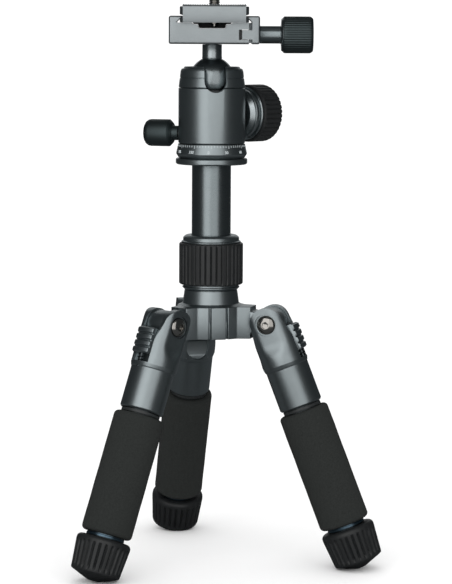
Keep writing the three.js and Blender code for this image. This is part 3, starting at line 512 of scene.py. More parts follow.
def ridges_tree():
    """Lays equal sharp ridges side by side along X."""
    number = "NodeSocketFloat"
    sizes = {"Count": "NodeSocketInt", "Pitch": number, "Length": number, "Height": number}
    tree = geometry_tree("Ridges side by side", sizes)
    start = node(tree, "NodeGroupInput")
    value = start.outputs
    step = node(tree, "ShaderNodeCombineXYZ", {"X": value["Pitch"]})
    line = node(tree, "GeometryNodeMeshLine", {"Count": value["Count"], "Offset": step.outputs[0]})
    size = node(tree, "ShaderNodeCombineXYZ", {"X": 1.0, "Y": value["Length"], "Z": 1.0})
    edge = node(tree, "ShaderNodeMath", {0: value["Pitch"], 1: math.sqrt(0.5)}, operation="MULTIPLY")
    square = node(tree, "ShaderNodeCombineXYZ", {"X": edge.outputs[0], "Y": 1.0, "Z": edge.outputs[0]})
    box = node(tree, "GeometryNodeMeshCube", {"Size": square.outputs[0]})
    turned_box = node(
        tree,
        "GeometryNodeTransform",
        {"Geometry": box.outputs[0], "Rotation": (0, math.pi / 4, 0)},
    )
    flatness = node(tree, "ShaderNodeMath", {0: value["Height"], 1: value["Pitch"]}, operation="DIVIDE")
    doubled = node(tree, "ShaderNodeMath", {0: flatness.outputs[0], 1: 2.0}, operation="MULTIPLY")
    tree.links.new(doubled.outputs[0], size.inputs["Z"])
    spread = node(
        tree,
        "GeometryNodeInstanceOnPoints",
        {"Points": line.outputs[0], "Instance": turned_box.outputs[0], "Scale": size.outputs[0]},
    )
    both = node(tree, "GeometryNodeJoinGeometry")
    tree.links.new(value["Geometry"], both.inputs[0])
    tree.links.new(spread.outputs[0], both.inputs[0])
    tree_end(tree, both.outputs[0], start)
    return tree


# ---- Materials ----


def surface(name, colour, metallic, roughness):
    """A material with its shader and the texture coordinates of the object."""
    material = bpy.data.materials.new(name)
    material.use_nodes = True
    tree = material.node_tree
    tree.nodes.clear()
    shader = node(
        tree,
        "ShaderNodeBsdfPrincipled",
        {"Base Color": (*colour, 1), "Metallic": metallic, "Roughness": roughness},
    )
    node(tree, "ShaderNodeOutputMaterial", {"Surface": shader.outputs[0]})
    return material, tree, shader, node(tree, "ShaderNodeTexCoord").outputs["Object"]


def grain(tree, where, size, detail=2.0):
    """Noise with grains of a size in mm."""
    inputs = {"Vector": where, "Scale": 1 / (size * MM), "Detail": detail}
    return node(tree, "ShaderNodeTexNoise", inputs).outputs[0]


def uneven(tree, source, low, high):
    inputs = {"Value": source, "From Min": 0.3, "From Max": 0.7, "To Min": low, "To Max": high}
    return node(tree, "ShaderNodeMapRange", inputs).outputs[0]


def tinted(tree, shader, source, colour, spread):
    """Lets the colour drift a little lighter and darker."""
    darker = [c * (1 - spread) for c in colour]
    lighter = [min(1, c * (1 + spread)) for c in colour]
    ramp = node(tree, "ShaderNodeMix", {0: source}, data_type="RGBA")
    ramp.inputs[6].default_value = (*darker, 1)
    ramp.inputs[7].default_value = (*lighter, 1)
    tree.links.new(ramp.outputs[2], shader.inputs["Base Color"])


def raised(tree, shader, source, height, strength=1.0):
    """Bumps the surface by a height in mm."""
    inputs = {"Height": source, "Distance": height * MM, "Strength": strength}
    bump = node(tree, "ShaderNodeBump", inputs)
    tree.links.new(bump.outputs[0], shader.inputs["Normal"])


def anodised(name, colour, roughness, blast=0.35):
    """Bead-blasted anodised aluminium: a satin metal with a fine even grain."""
    material, tree, shader, where = surface(name, colour, 1.0, roughness)
    # Real blasting pits are about 0.05 mm, too fine to show, so they are drawn coarser.
    pits = grain(tree, where, blast, 3.0)
    tree.links.new(uneven(tree, pits, roughness - 0.05, roughness + 0.06), shader.inputs["Roughness"])
    tinted(tree, shader, grain(tree, where, 9.0), colour, 0.07)
    raised(tree, shader, pits, 0.012, 0.5)
    return material


def steel(name, colour):
    """Polished stainless steel: bright, with a faintly uneven polish and small stains."""
    material, tree, shader, where = surface(name, colour, 1.0, 0.15)
    tree.links.new(uneven(tree, grain(tree, where, 1.2), 0.13, 0.17), shader.inputs["Roughness"])
    tinted(tree, shader, grain(tree, where, 3.0), colour, 0.04)
    return material


def rubber(name, colour, roughness=0.46):
    """Moulded rubber: dark, matt, with a fine spark-eroded skin."""
    material, tree, shader, where = surface(name, colour, 0.0, roughness)
    shader.inputs["IOR"].default_value = 1.52
    skin = grain(tree, where, 0.3, 4.0)
    tree.links.new(uneven(tree, skin, roughness - 0.08, roughness + 0.1), shader.inputs["Roughness"])
    tinted(tree, shader, grain(tree, where, 5.0), colour, 0.18)
    raised(tree, shader, skin, 0.03, 0.6)
    return material


def foam(name, colour, cell):
    """Closed-cell foam sleeve: fully matt, with open pores cut by the grinding."""
    material, tree, shader, where = surface(name, colour, 0.0, 0.93)
    shader.inputs["IOR"].default_value = 1.45
    shader.inputs["Specular IOR Level"].default_value = 0.15
    cells = node(tree, "ShaderNodeTexVoronoi", {"Vector": where, "Scale": 1 / (cell * MM)})
    fine = grain(tree, where, cell * 0.6, 3.0)
    both = node(tree, "ShaderNodeMath", {0: cells.outputs["Distance"], 1: fine}, operation="ADD")
    tinted(tree, shader, uneven(tree, grain(tree, where, cell * 1.6, 5.0), 0.0, 1.0), colour, 0.16)
    raised(tree, shader, both.outputs[0], 0.09, 0.6)
    return material


def nylon(name, colour):
    """Glass-filled nylon: a moulded black plastic with a dull skin."""
    material, tree, shader, where = surface(name, colour, 0.0, 0.45)
    shader.inputs["IOR"].default_value = 1.53
    skin = grain(tree, where, 0.4, 3.0)
    tree.links.new(uneven(tree, skin, 0.38, 0.52), shader.inputs["Roughness"])
    raised(tree, shader, skin, 0.02, 0.5)
    return material


def paint(name, colour):
    """Silk-screened pale ink on the scale: slightly uneven and not glossy."""
    material, tree, shader, where = surface(name, colour, 0.0, 0.6)
    tinted(tree, shader, grain(tree, where, 0.4, 3.0), colour, 0.2)
    return material


def material(name):
    """A finish from the panel's colours, made once."""
    found = bpy.data.materials.get(name)
    if found:
        return found
    look = bpy.context.scene.tripod_finishes
    makers = {
        "gunmetal_blasted_anodised_aluminium": lambda n: anodised(n, look.gunmetal, 0.36),
        "gunmetal_turned_anodised_aluminium": lambda n: anodised(n, look.gunmetal_bright, 0.27, 0.2),
        "grey_anodised_aluminium": lambda n: anodised(n, look.grey, 0.4),
        "black_anodised_aluminium": lambda n: anodised(n, look.black, 0.3),
        "blue_grey_anodised_aluminium": lambda n: anodised(n, look.blue, 0.3),
        "smooth_anodised_aluminium_tube": lambda n: anodised(n, look.column, 0.3, 0.2),
        "matt_black_anodised_aluminium": lambda n: anodised(n, look.matt_black, 0.5),
        "satin_anodised_ball": lambda n: anodised(n, look.ball, 0.24, 0.2),
        "polished_stainless_steel": lambda n: steel(n, look.steel),
        "oil_blackened_spring_steel": lambda n: steel(n, look.black),
        "moulded_rubber": lambda n: rubber(n, look.rubber),
        "ridged_grey_rubber": lambda n: rubber(n, look.pad),
        "closed_cell_foam": lambda n: foam(n, look.foam, bpy.context.scene.tripod_sizes.foam_cell / MM),
        "moulded_nylon": lambda n: nylon(n, look.nylon),
        "screened_ink": lambda n: paint(n, look.ink),
    }
    return makers[name](name)


GUNMETAL = ("gunmetal_blasted_anodised_aluminium", "gunmetal_anodised")
GUNMETAL_BRIGHT = ("gunmetal_turned_anodised_aluminium", "gunmetal_anodised")
GREY = ("grey_anodised_aluminium", "grey_anodised")
BLACK = ("black_anodised_aluminium", "black_anodised")
TUBE = ("smooth_anodised_aluminium_tube", "gunmetal_anodised")
MATT_BLACK = ("matt_black_anodised_aluminium", "gunmetal_anodised")
BALL = ("satin_anodised_ball", "black_anodised")
BLUE = ("blue_grey_anodised_aluminium", "blue_anodised")
STEEL = ("polished_stainless_steel", "polished_steel")
SPRING = ("oil_blackened_spring_steel", "polished_steel")
RUBBER = ("moulded_rubber", "black_rubber")
PAD = ("ridged_grey_rubber", "black_rubber")
FOAM = ("closed_cell_foam", "foam")
NYLON = ("moulded_nylon", "black_nylon")
INK = ("screened_ink", "gunmetal_anodised")


def shown(piece, finish, body, *nodes):
    return finished(piece, material(finish[0]), body, finish[1], *nodes)


# ---- Sizes and colours that a user would change ----


def colour(name, about, hex_colour):
    return bpy.props.FloatVectorProperty(
        name=name, description=about, subtype="COLOR", size=3, min=0, max=1, default=linear(hex_colour)
    )


def length(name, about, mm):
    return bpy.props.FloatProperty(
        name=name, description=about, unit="LENGTH", subtype="DISTANCE", default=mm * MM, min=0
    )


def count(name, about, number):
    return bpy.props.IntProperty(name=name, description=about, default=number, min=3)


class TripodFinishes(bpy.types.PropertyGroup):
    """Colours of the tripod's finishes."""

    gunmetal: colour("Gunmetal", "Blasted and anodised aluminium of crown, legs and head", "#9ca4a6")
    gunmetal_bright: colour("Turned gunmetal", "Freshly turned rings of the knobs and collar", "#aab1b3")
    grey: colour("Clamp grey", "Anodised aluminium of clamp and plate", "#a0a6a8")
    column: colour("Column", "Smooth anodised centre column and clamp knob hub", "#8b9395")
    black: colour("Black", "Black anodised leg tubes", "#4a4f51")
    matt_black: colour("Matt black", "Pan knob and clamp knob", "#515a5b")
    ball: colour("Ball", "Satin anodised ball", "#8d9496")
    blue: colour("Foot ring", "Blue-grey anodised ring above each foot", "#5f7482")
    steel: colour("Steel", "Polished screws", "#a9a6a1")
    rubber: colour("Rubber", "Ribbed grips and feet", "#17191a")
    pad: colour("Pad", "Ridged pad on the plate", "#5a6062")
    foam: colour("Foam", "Leg grips", "#232524")
    nylon: colour("Nylon", "Inner bushes and rings", "#232627")
    ink: colour("Scale marks", "Ticks and numbers of the pan scale", "#b9c0c2")


class TripodSizes(bpy.types.PropertyGroup):
    """Sizes of the details that the CAD model leaves plain."""

    edge: length("Edge round", "Rounding of milled edges", 0.4)
    collar_ribs: count("Collar ribs", "Ribs round the twist collar's grip", 36)
    collar_groove: length("Collar groove", "Depth between the collar's ribs", 0.7)
    knob_ribs: count("Knob ribs", "Ribs round the main lock knob", 36)
    knob_groove: length("Knob groove", "Depth between the main knob's ribs", 0.6)
    clamp_knob_ribs: count("Clamp knob ribs", "Fine ribs round the clamp knob", 44)
    clamp_knob_groove: length("Clamp knob groove", "Depth between the clamp knob's ribs", 0.2)
    foot_ribs: count("Foot ribs", "Ribs round each foot", 26)
    foot_groove: length("Foot groove", "Depth between a foot's ribs", 1.0)
    scale_ticks: count("Scale ticks", "Ticks round the pan scale", 72)
    pad_ridges: count("Pad ridges", "Ridges across the plate's pad", 27)
    camera_pitch: length("Camera thread pitch", "Pitch of the 1/4-inch thread", 1.27)
    foam_cell: length("Foam cell", "Size of the foam's pores", 0.5)


def sizes():
    return bpy.context.scene.tripod_sizes


# ---- Crown, collar and column ----


def rotated(points, degrees):
    turn = Matrix.Rotation(math.radians(degrees), 2)
    return [(*(turn @ Vector(p[:2])), *p[2:]) for p in points]


def crown_outline(apothem, facet, lug_half, arm_end):
    """The crown from above: a facet between each two arms, with hollow corners."""
    corners = []
    for number in LEGS:
        outwards = LEG[number].to_3x3() @ Vector((1, 0, 0))
        azimuth = math.degrees(math.atan2(outwards.y, outwards.x))
        arm = [
            (apothem - 0.9, -lug_half - 1.9, 2.2),
            (arm_end, -lug_half),
            (arm_end, lug_half),
            (apothem - 0.9, lug_half + 1.9, 2.2),
        ]
        groove = [
            (apothem, facet / 2, 0.3),
            (apothem - 2.4, facet / 2 + 0.2),
            (apothem - 2.4, facet / 2 + 1.2),
            (apothem - 0.7, facet / 2 + 1.5, 0.3),
        ]
        corners += rotated(groove, azimuth - 60)
        corners += rotated(arm, azimuth)
        corners += rotated([(x, -y, *r) for x, y, *r in reversed(groove)], azimuth + 60)
    return filleted(corners, 5)


class TRIPOD_OT_crown(bpy.types.Operator):
    """Makes the crown with its three arms"""

    bl_idname = "tripod.crown"
    bl_label = "Crown"

    def execute(self, context):
        pivot = LEG[1].translation.z / MM
        reach = math.hypot(*(LEG[1].translation - COLUMN.translation).xy) / MM
        low, _ = levels("crown", COLUMN)
        top = pivot + 9.3
        lug = 8.6
        lug_half = 6.15
        bore = radius("column_tube", COLUMN) + 0.3
        body = prism("body", crown_outline(18.6, 8.2, lug_half, reach - 10), low, top)
        hole = turned("hole", [(0, low - 1), (bore + 1.6, low - 1), (bore + 1.6, low + 2), (0, low + 2)])
        edged(combined(body, [hole], "DIFFERENCE"), 0.4)
        arms = [self.arm(number, reach, lug, lug_half) for number in LEGS]
        neck = filleted(
            [
                (0, low + 3),
                (16, low + 3),
                (18.2, top - 0.05),
                (15.9, top + 1.2, 0.6),
                (14.85, top + 8.7, 0.3),
                (13.9, top + 8.7),
                (13.9, top + 11.5),
                (0, top + 11.5),
            ]
        )
        crown = joined("crown_casting", [moved(body, COLUMN), moved(turned("neck", neck), COLUMN), *arms])
        shown(crown, GUNMETAL, "crown", "crown")
        return {"FINISHED"}

    def arm(self, number, reach, lug, lug_half):
        """An arm from the neck to its round lug, in the crown's upright frame."""
        outwards = LEG[number].to_3x3() @ Vector((1, 0, 0))
        level = Vector((outwards.x, outwards.y, 0)).normalized()
        place = axes(LEG[number].translation, (0, 0, 1), Vector((0, 0, 1)).cross(level))
        root = 12 - reach
        side = [(root, -8.5), (-13, -8.5, 2.5), (-9.2, -5.4, 1.5)]
        side += arc(0, 0, lug, -146, 134, 40)
        side += [(-9.5, 6.9, 2), (root, 10.6)]
        arm = bar("arm", filleted(side), -lug_half, lug_half)
        bolt = lying(turned("bolt", [(0, -9), (3.3, -9), (3.3, 9), (0, 9)], SMALL), Matrix(), (0, 1, 0))
        return moved(edged(combined(arm, [bolt], "DIFFERENCE"), 0.9), place)


class TRIPOD_OT_collar(bpy.types.Operator):
    """Makes the twist collar, its ribbed grip and the column"""

    bl_idname = "tripod.collar"
    bl_label = "Collar and column"

    def execute(self, context):
        column = radius("column_tube", COLUMN)
        self.collar(column)
        self.grip()
        self.tube(column)
        return {"FINISHED"}

    def collar(self, column):
        low, high = levels("twist_collar", COLUMN)
        grip_low, grip_high = levels("twist_collar_grip", COLUMN)
        lip = grip_high + 0.3
        outline = filleted(
            [
                (14.3, low),
                (15.0, low, 0.2),
                (16.1, low + 1.0, 0.15),
                (16.1, low + 1.5, 0.15),
                (15.5, low + 1.9, 0.1),
                (15.5, grip_low - 0.1),
                (15.9, grip_low),
                (15.9, lip - 0.2),
                (16.7, lip, 0.15),
                (16.7, lip + 0.5, 0.2),
                (15.8, lip + 0.9, 0.3),
                (15.8, lip + 2.8, 1.3),
                (14.2, high, 0.8),
                (column + 0.35, high, 0.3),
                (column + 0.35, lip),
                (14.3, lip),
            ]
        )
        shown(moved(turned("twist_collar_shell", outline), COLUMN), GUNMETAL, "twist_collar", "twist_collar")

    def grip(self):
        low, high = levels("twist_collar_grip", COLUMN)
        size = radius("twist_collar_grip", COLUMN)
        ribs = sizes().collar_ribs
        end = 1.1
        outline = [(16.0, low)] + arc(size - end, low + end, end, -86, 0, 6)
        outline += [(size, low + end + (high - low - 2 * end) * i / 12) for i in range(1, 12)]
        outline += arc(size - end, high - end, end, 0, 86, 6) + [(16.0, high)]
        grip = turned("twist_collar_rubber", outline, ribs * 10)
        grown(
            grip,
            bpy.data.node_groups["Ribs"],
            Count=float(ribs),
            Depth=sizes().collar_groove,
            Land=0.6,
            Low=(low + 0.3) * MM,
            High=(high - 0.3) * MM,
            Fade=1.1 * MM,
            Core=16.3 * MM,
            Twist=0.0,
            Material=material(RUBBER[0]),
        )
        shown(moved(grip, COLUMN), RUBBER, "twist_collar", "twist_collar_grip")

    def tube(self, column):
        low, high = levels("column_tube", COLUMN)
        outline = filleted(
            [(column - 1.6, low), (column, low, 0.3), (column, high, 0.3), (column - 1.6, high)]
        )
        shown(moved(turned("centre_column", outline), COLUMN), TUBE, "column", "column_tube")
        flange_low, _ = levels("column_end_plug", COLUMN)
        flange = radius("column_end_plug", COLUMN)
        plug = filleted(
            [
                (0, flange_low + 0.5),
                (4.4, flange_low + 0.5),
                (4.8, flange_low),
                (flange, flange_low, 0.5),
                (flange, flange_low + 1.6, 0.3),
                (column - 1.9, flange_low + 1.6),
                (column - 1.9, flange_low + 10),
                (0, flange_low + 10),
            ]
        )
        shown(moved(turned("column_plug", plug), COLUMN), NYLON, "column", "column_end_plug")


# ---- Ball head ----


class TRIPOD_OT_pan_base(bpy.types.Operator):
    """Makes the platform and the pan base with its scale"""

    bl_idname = "tripod.pan_base"
    bl_label = "Platform and pan scale"

    def execute(self, context):
        self.platform()
        self.base()
        return {"FINISHED"}

    def platform(self):
        _, high = levels("head_platform", COLUMN)
        size = radius("head_platform", COLUMN)
        low = high - 3.3
        column = radius("column_tube", COLUMN)
        outline = filleted(
            [
                (0, low - 8),
                (column - 1.9, low - 8),
                (column - 1.9, low),
                (size - 0.8, low, 0.2),
                (size, low + 0.6, 0.3),
                (size, high - 0.4, 0.3),
                (size - 0.5, high, 0.2),
                (0, high),
            ]
        )
        shown(moved(turned("head_platform_disc", outline), COLUMN), GUNMETAL, "column", "head_platform")

    def base(self):
        low, _ = levels("pan_base", COLUMN)
        size = radius("pan_base", COLUMN)
        top, _ = levels("ball_housing", COLUMN)
        top -= 0.3
        neck = radius("ball_housing", COLUMN)
        outline = filleted(
            [
                (5.1, low),
                (size - 1.5, low, 0.5),
                (size, low + 2.3, 0.9),
                (neck + 0.05, top, 0.25),
                (11, top),
                (11, top + 7),
                (5.1, top + 7),
            ]
        )
        shown(moved(turned("pan_base_ring", outline), COLUMN), GUNMETAL, "column", "pan_base")
        self.scale(low + 2.5, top, size, neck)

    def scale(self, low, high, low_radius, high_radius):
        """Ticks and numbers on the base's cone."""
        lean = -math.atan2(low_radius - high_radius, high - low)
        ticks = turned("pan_scale_ticks", [(0, 0), (0.1, 0), (0, 0.1)], 3)
        grown(
            ticks,
            bpy.data.node_groups["Marks round a circle"],
            Count=sizes().scale_ticks,
            Radius=(high_radius + 0.11) * MM,
            Height=(high - 0.35) * MM,
            Lean=lean,
            Width=0.24 * MM,
            Length=1.15 * MM,
            Thickness=0.12 * MM,
            Long_Every=6,
            Long_Share=1.45,
            Material=material(INK[0]),
        )
        shown(moved(ticks, COLUMN), INK, "column")
        numbers = []
        for i in range(12):
            text = self.number(str(i * 30), lean, low + 0.45, low_radius - 0.06, 265 + i * 30)
            numbers.append(text)
        shown(moved(joined("pan_scale_numbers", numbers), COLUMN), INK, "column")

    def number(self, words, lean, height, reach, azimuth):
        """A small number standing on the cone, at a height and azimuth."""
        curve = bpy.data.curves.new("number", "FONT")
        curve.body = words
        curve.size = 2.2 * MM
        curve.align_x = "CENTER"
        curve.extrude = 0.05 * MM
        letters = bpy.data.objects.new("number", curve)
        bpy.context.scene.collection.objects.link(letters)
        bpy.context.view_layer.update()
        graph = bpy.context.evaluated_depsgraph_get()
        mesh = bpy.data.meshes.new_from_object(letters.evaluated_get(graph))
        bpy.data.objects.remove(letters)
        for vertex in mesh.vertices:  # bends the flat number round the cone
            turn = vertex.co.x / (reach * MM)
            depth = reach * MM + vertex.co.z - vertex.co.y * math.tan(-lean)
            vertex.co = (depth * math.sin(turn), -depth * math.cos(turn), height * MM + vertex.co.y)
        mesh.transform(Matrix.Rotation(math.radians(azimuth + 90), 4, "Z"))
        piece = bpy.data.objects.new("number", mesh)
        bpy.context.scene.collection.objects.link(piece)
        return piece


def head_notch(centre, top):
    """The drop notch's cutter: round at the bottom, open at the top."""
    forwards = Vector(joint("ball_roll")["axis"])
    half = 6.25
    outline = [(half, top + 2), (-half, top + 2)] + arc(0, centre - 0.75, half, 180, 360, 32)
    cutter = bar("notch", outline, 0, 24)
    place = axes((COLUMN.translation.x, COLUMN.translation.y, 0), (0, 0, 1), forwards)
    return moved(cutter, place)


class TRIPOD_OT_housing(bpy.types.Operator):
    """Makes the ball housing and its cap"""

    bl_idname = "tripod.housing"
    bl_label = "Ball housing"

    def execute(self, context):
        ball = middle("ball").z / MM
        low, high = levels("ball_housing", COLUMN)
        size = radius("ball_housing", COLUMN)
        _, top = levels("housing_cap", COLUMN)
        body = filleted(
            [
                (11.3, low),
                (size - 0.5, low, 0.1),
                (size, low + 0.5, 0.3),
                (size, high - 0.35, 0.2),
                (size - 0.35, high),
                (13.1, high),
                (13.1, low + 7.6),
                (11.3, low + 7.6),
            ]
        )
        housing = moved(turned("housing_body", body), COLUMN)
        holes = [self.hole(MAIN_KNOB, 3.6), self.hole(PAN_KNOB, 3.0)]
        combined(housing, [head_notch(ball, top), *holes], "DIFFERENCE")
        shown(edged(housing, 0.3), GUNMETAL, "pan_housing", "ball_housing")
        self.cap(ball, high + 0.3, top, size)
        return {"FINISHED"}

    def hole(self, place, size):
        outline = [(0, 11.6), (size, 11.6), (size, 24), (0, 24)]
        return moved(turned("hole", outline, SMALL), place)

    def cap(self, ball, low, top, size):
        seat = 13.05
        opening = math.degrees(math.asin((top - ball) / seat))
        groove = low + 5.3
        outline = [
            (13.1, low),
            (size - 0.35, low),
            (size - 0.1, low + 0.3),
            (size - 0.35, low + 2.6),
            (size - 0.7, groove - 0.3, 0.1),
            (size - 1.0, groove - 0.15),
            (size - 1.0, groove + 0.15),
            (size - 0.75, groove + 0.3, 0.1),
            (size - 1.15, top - 2.4, 1.5),
            (size - 2.1, top - 0.35, 1.2),
            (size - 3.4, top, 0.6),
        ]
        outline = filleted(outline[:-1]) + [outline[-1][:2]] + arc(0, ball, seat, opening, 0, 16)
        cap = moved(turned("housing_cap_ring", outline), COLUMN)
        combined(cap, [head_notch(ball, top)], "DIFFERENCE")
        shown(edged(cap, 0.3), GUNMETAL, "pan_housing", "housing_cap")


class TRIPOD_OT_ball(bpy.types.Operator):
    """Makes the ball and the neck that carries the clamp"""

    bl_idname = "tripod.ball"
    bl_label = "Ball and neck"

    def execute(self, context):
        centre = middle("ball").z / MM
        size = radius("ball", COLUMN)
        outline = [(0, centre - size), *arc(0, centre, size, -87, 87, 48), (0, centre + size)]
        sphere = turned("ball_sphere", outline)
        shown(moved(sphere, COLUMN), BALL, "ball", "ball")
        _, high = levels("neck", COLUMN)
        low = centre + math.sqrt((size + 0.15) ** 2 - 5.65**2)
        under = levels("clamp_base", COLUMN)[0] - 0.25
        outline = filleted(
            [
                (0, low - 0.5),
                (5.5, low),
                (5.65, low + 0.5, 0.2),
                (5.5, low + 1.3, 0.5),
                (5.5, under - 0.5),
                (5.3, under, 0.2),
                (3.6, under),
                (3.6, high),
                (0, high),
            ]
        )
        shown(moved(turned("neck_stem", outline, 96), COLUMN), GUNMETAL_BRIGHT, "neck", "neck")
        return {"FINISHED"}


class TRIPOD_OT_lock_knobs(bpy.types.Operator):
    """Makes the main lock knob and the pan lock knob"""

    bl_idname = "tripod.lock_knobs"
    bl_label = "Lock knobs"

    def execute(self, context):
        self.hub()
        self.grip()
        self.pan_knob()
        return {"FINISHED"}

    def hub(self):
        low, high = levels("main_knob_hub", MAIN_KNOB)
        size = radius("main_knob_hub", MAIN_KNOB)
        outline = filleted(
            [
                (3.3, low),
                (size - 4, low, 0.3),
                (size - 2.1, low + 2.2, 0.3),
                (size - 1.1, low + 2.6, 0.3),
                (size - 1.1, low + 4.9, 0.3),
                (size - 1.9, low + 5.1, 0.1),
                (size - 1.9, low + 5.4, 0.1),
                (size - 0.3, low + 5.5, 0.2),
                (size, low + 5.9, 0.2),
                (size, high, 0.15),
                (3.3, high),
            ]
        )
        hub = moved(turned("main_knob_rings", outline), MAIN_KNOB)
        shown(hub, GUNMETAL_BRIGHT, "main_knob", "main_knob_hub")

    def grip(self):
        low, high = levels("main_knob_grip", MAIN_KNOB)
        size = radius("main_knob_grip", MAIN_KNOB)
        ribs = sizes().knob_ribs
        outline = [(3.3, low), (size - 0.9, low), (size - 0.2, low + 0.35), (size, low + 1)]
        outline += [(size, low + 1 + (high - low - 4.2) * i / 8) for i in range(1, 9)]
        outline += arc(size - 3.2, high - 3.2, 3.2, 12, 84, 8)
        outline += [(size - 4.2, high), (size - 5.2, high - 0.35), (0, high - 0.5)]
        outline += [(0, high - 3), (3.3, high - 3)]
        grip = turned("main_knob_rubber", outline, ribs * 10)
        grown(
            grip,
            bpy.data.node_groups["Ribs"],
            Count=float(ribs),
            Depth=sizes().knob_groove,
            Land=0.45,
            Low=(low + 0.8) * MM,
            High=(high + 0.6) * MM,
            Fade=1.2 * MM,
            Core=(size - 4.0) * MM,
            Twist=0.0,
            Material=material(RUBBER[0]),
        )
        shown(moved(grip, MAIN_KNOB), RUBBER, "main_knob", "main_knob_grip")

    def pan_knob(self):
        low, high = levels("pan_knob", PAN_KNOB)
        size = radius("pan_knob", PAN_KNOB)
        body = high - 16.2
        outline = filleted(
            [
                (0, low),
                (4.1, low, 0.2),
                (4.1, body - 0.2, 0.4),
                (4.9, body, 0.2),
                (5.2, body + 0.7, 0.2),
                (size - 2.1, body + 0.7, 0.2),
                (size - 1.9, body, 0.15),
                (size, body + 1.9, 0.3),
                (size, high, 3.6),
                (0, high),
            ]
        )
        shown(moved(turned("pan_knob_turned", outline), PAN_KNOB), MATT_BLACK, "pan_knob", "pan_knob")


# ---- Clamp and plate ----


def plate_flank():
    """Where the plate's dovetail is narrowest, and its half width there, in mm."""
    low, high = local_box("camera_plate", CLAMP)
    return low.z + 2.1 + 1.8, high.x - 1.8


class TRIPOD_OT_clamp(bpy.types.Operator):
    """Makes the clamp base, its jaw and its knob"""

    bl_idname = "tripod.clamp"
    bl_label = "Quick-release clamp"

    def execute(self, context):
        low, high = local_box("clamp_base", CLAMP)
        jaw_low, jaw_high = local_box("clamp_jaw", CLAMP)
        flank_level, flank_half = plate_flank()
        tip = flank_half + flank_level - high.z + 0.25
        inner = jaw_high.x - 4.2
        foot = high.z - (inner - tip)
        self.base(low, high, inner, tip, foot)
        self.jaw(jaw_low, jaw_high, inner, tip, foot)
        self.knob()
        return {"FINISHED"}

    def base(self, low, high, inner, tip, foot):
        floor = high.z - RECESS_FLOOR
        stem = (COLUMN.translation.x - CLAMP.translation.x) / MM
        slot_low = low.z + 2.4
        outline = filleted(
            [
                (low.x, low.z, 0.8),
                (high.x, low.z, 0.3),
                (high.x, slot_low, 0.15),
                (high.x - 5.5, slot_low, 0.2),
                (high.x - 5.5, slot_low + 5.6, 0.2),
                (high.x, slot_low + 5.6, 0.15),
                (high.x, floor, 0.2),
                (stem + 11.5, floor, 0.8),
                (stem + 10.4, floor - 0.9, 0.6),
                (stem + 7.9, floor - 0.95, 0.2),
                (stem + 7.5, floor - 3.2, 0.9),
                (stem - 7.5, floor - 3.2, 0.9),
                (stem - 7.9, floor - 0.95, 0.2),
                (stem - 10.4, floor - 0.9, 0.6),
                (stem - 11.5, floor, 0.8),
                (-inner, floor, 0.2),
                (-inner, foot, 0.2),
                (-tip, high.z, 0.15),
                (low.x, high.z, 0.8),
            ]
        )
        base = bar("clamp_body", outline, low.y, high.y)
        combined(base, [self.block(low, (high.x + 4, high.y, high.z))], "INTERSECT")
        shown(moved(base, CLAMP), GREY, "clamp", "clamp_base")
        stop_low = (high.x - 5.6, low.y + 3, slot_low - 0.05)
        stop_high = (high.x - 3.9, high.y - 3, slot_low + 5.65)
        stop = slab("jaw_stop", stop_low, stop_high)
        shown(moved(stop, CLAMP), NYLON, "clamp")

    def block(self, low, high):
        """A block with the well-rounded edges that the clamp's parts share."""
        return edged(slab("block", low, high), 1.2, 50, 6)

    def jaw(self, low, high, inner, tip, foot):
        tongue = low.z + 2.7
        outline = filleted(
            [
                (inner, low.z, 0.2),
                (high.x, low.z, 0.8),
                (high.x, high.z, 0.8),
                (tip, high.z, 0.15),
                (inner, foot, 0.2),
                (inner, tongue + 5, 0.15),
                (low.x, tongue + 5, 0.2),
                (low.x, tongue, 0.2),
                (inner, tongue, 0.15),
            ]
        )
        jaw = bar("clamp_jaw_bar", outline, low.y, high.y)
        combined(jaw, [self.block((low.x - 4, low.y, low.z), high)], "INTERSECT")
        boss = slab("boss", (inner - 1.65, -9, low.z + 0.6), (inner + 1, 9, foot - 0.5))
        shown(moved(joined("clamp_jaw_bossed", [jaw, boss]), CLAMP), GREY, "jaw", "clamp_jaw")

    def knob(self):
        low, high = levels("clamp_knob", CLAMP_KNOB)
        size = radius("clamp_knob", CLAMP_KNOB)
        body = low + 11.8
        ribs = sizes().clamp_knob_ribs
        hub = filleted(
            [
                (2.8, low),
                (4.9, low, 0.3),
                (4.9, body - 0.2, 0.3),
                (size - 1.5, body + 0.1, 0.3),
                (size - 0.7, body + 1.1, 0.2),
                (size - 0.7, body + 2),
                (2.8, body + 2),
            ]
        )
        cap = [(2.8, body + 0.9), (size - 1.1, body + 0.9), (size - 0.2, body + 1.5), (size, body + 2)]
        cap += [(size, body + 2 + (high - body - 4) * i / 8) for i in range(1, 9)]
        cap += [(size - 0.25, high - 1.2), (size - 1.1, high - 0.15), (size - 1.6, high)]
        cap += [(size - 3.4, high), (size - 4, high - 0.4), (0, high - 0.4), (0, high - 7), (2.8, high - 7)]
        grip = turned("clamp_knob_cap", cap, ribs * 8)
        grown(
            grip,
            bpy.data.node_groups["Ribs"],
            Count=float(ribs),
            Depth=sizes().clamp_knob_groove,
            Land=0.3,
            Low=(body + 1.3) * MM,
            High=(high - 0.6) * MM,
            Fade=0.7 * MM,
            Core=(size - 1.4) * MM,
            Twist=0.0,
            Material=material(MATT_BLACK[0]),
        )
        shown(moved(turned("clamp_knob_hub", hub), CLAMP_KNOB), TUBE, "clamp_knob")
        shown(moved(grip, CLAMP_KNOB), MATT_BLACK, "clamp_knob", "clamp_knob")


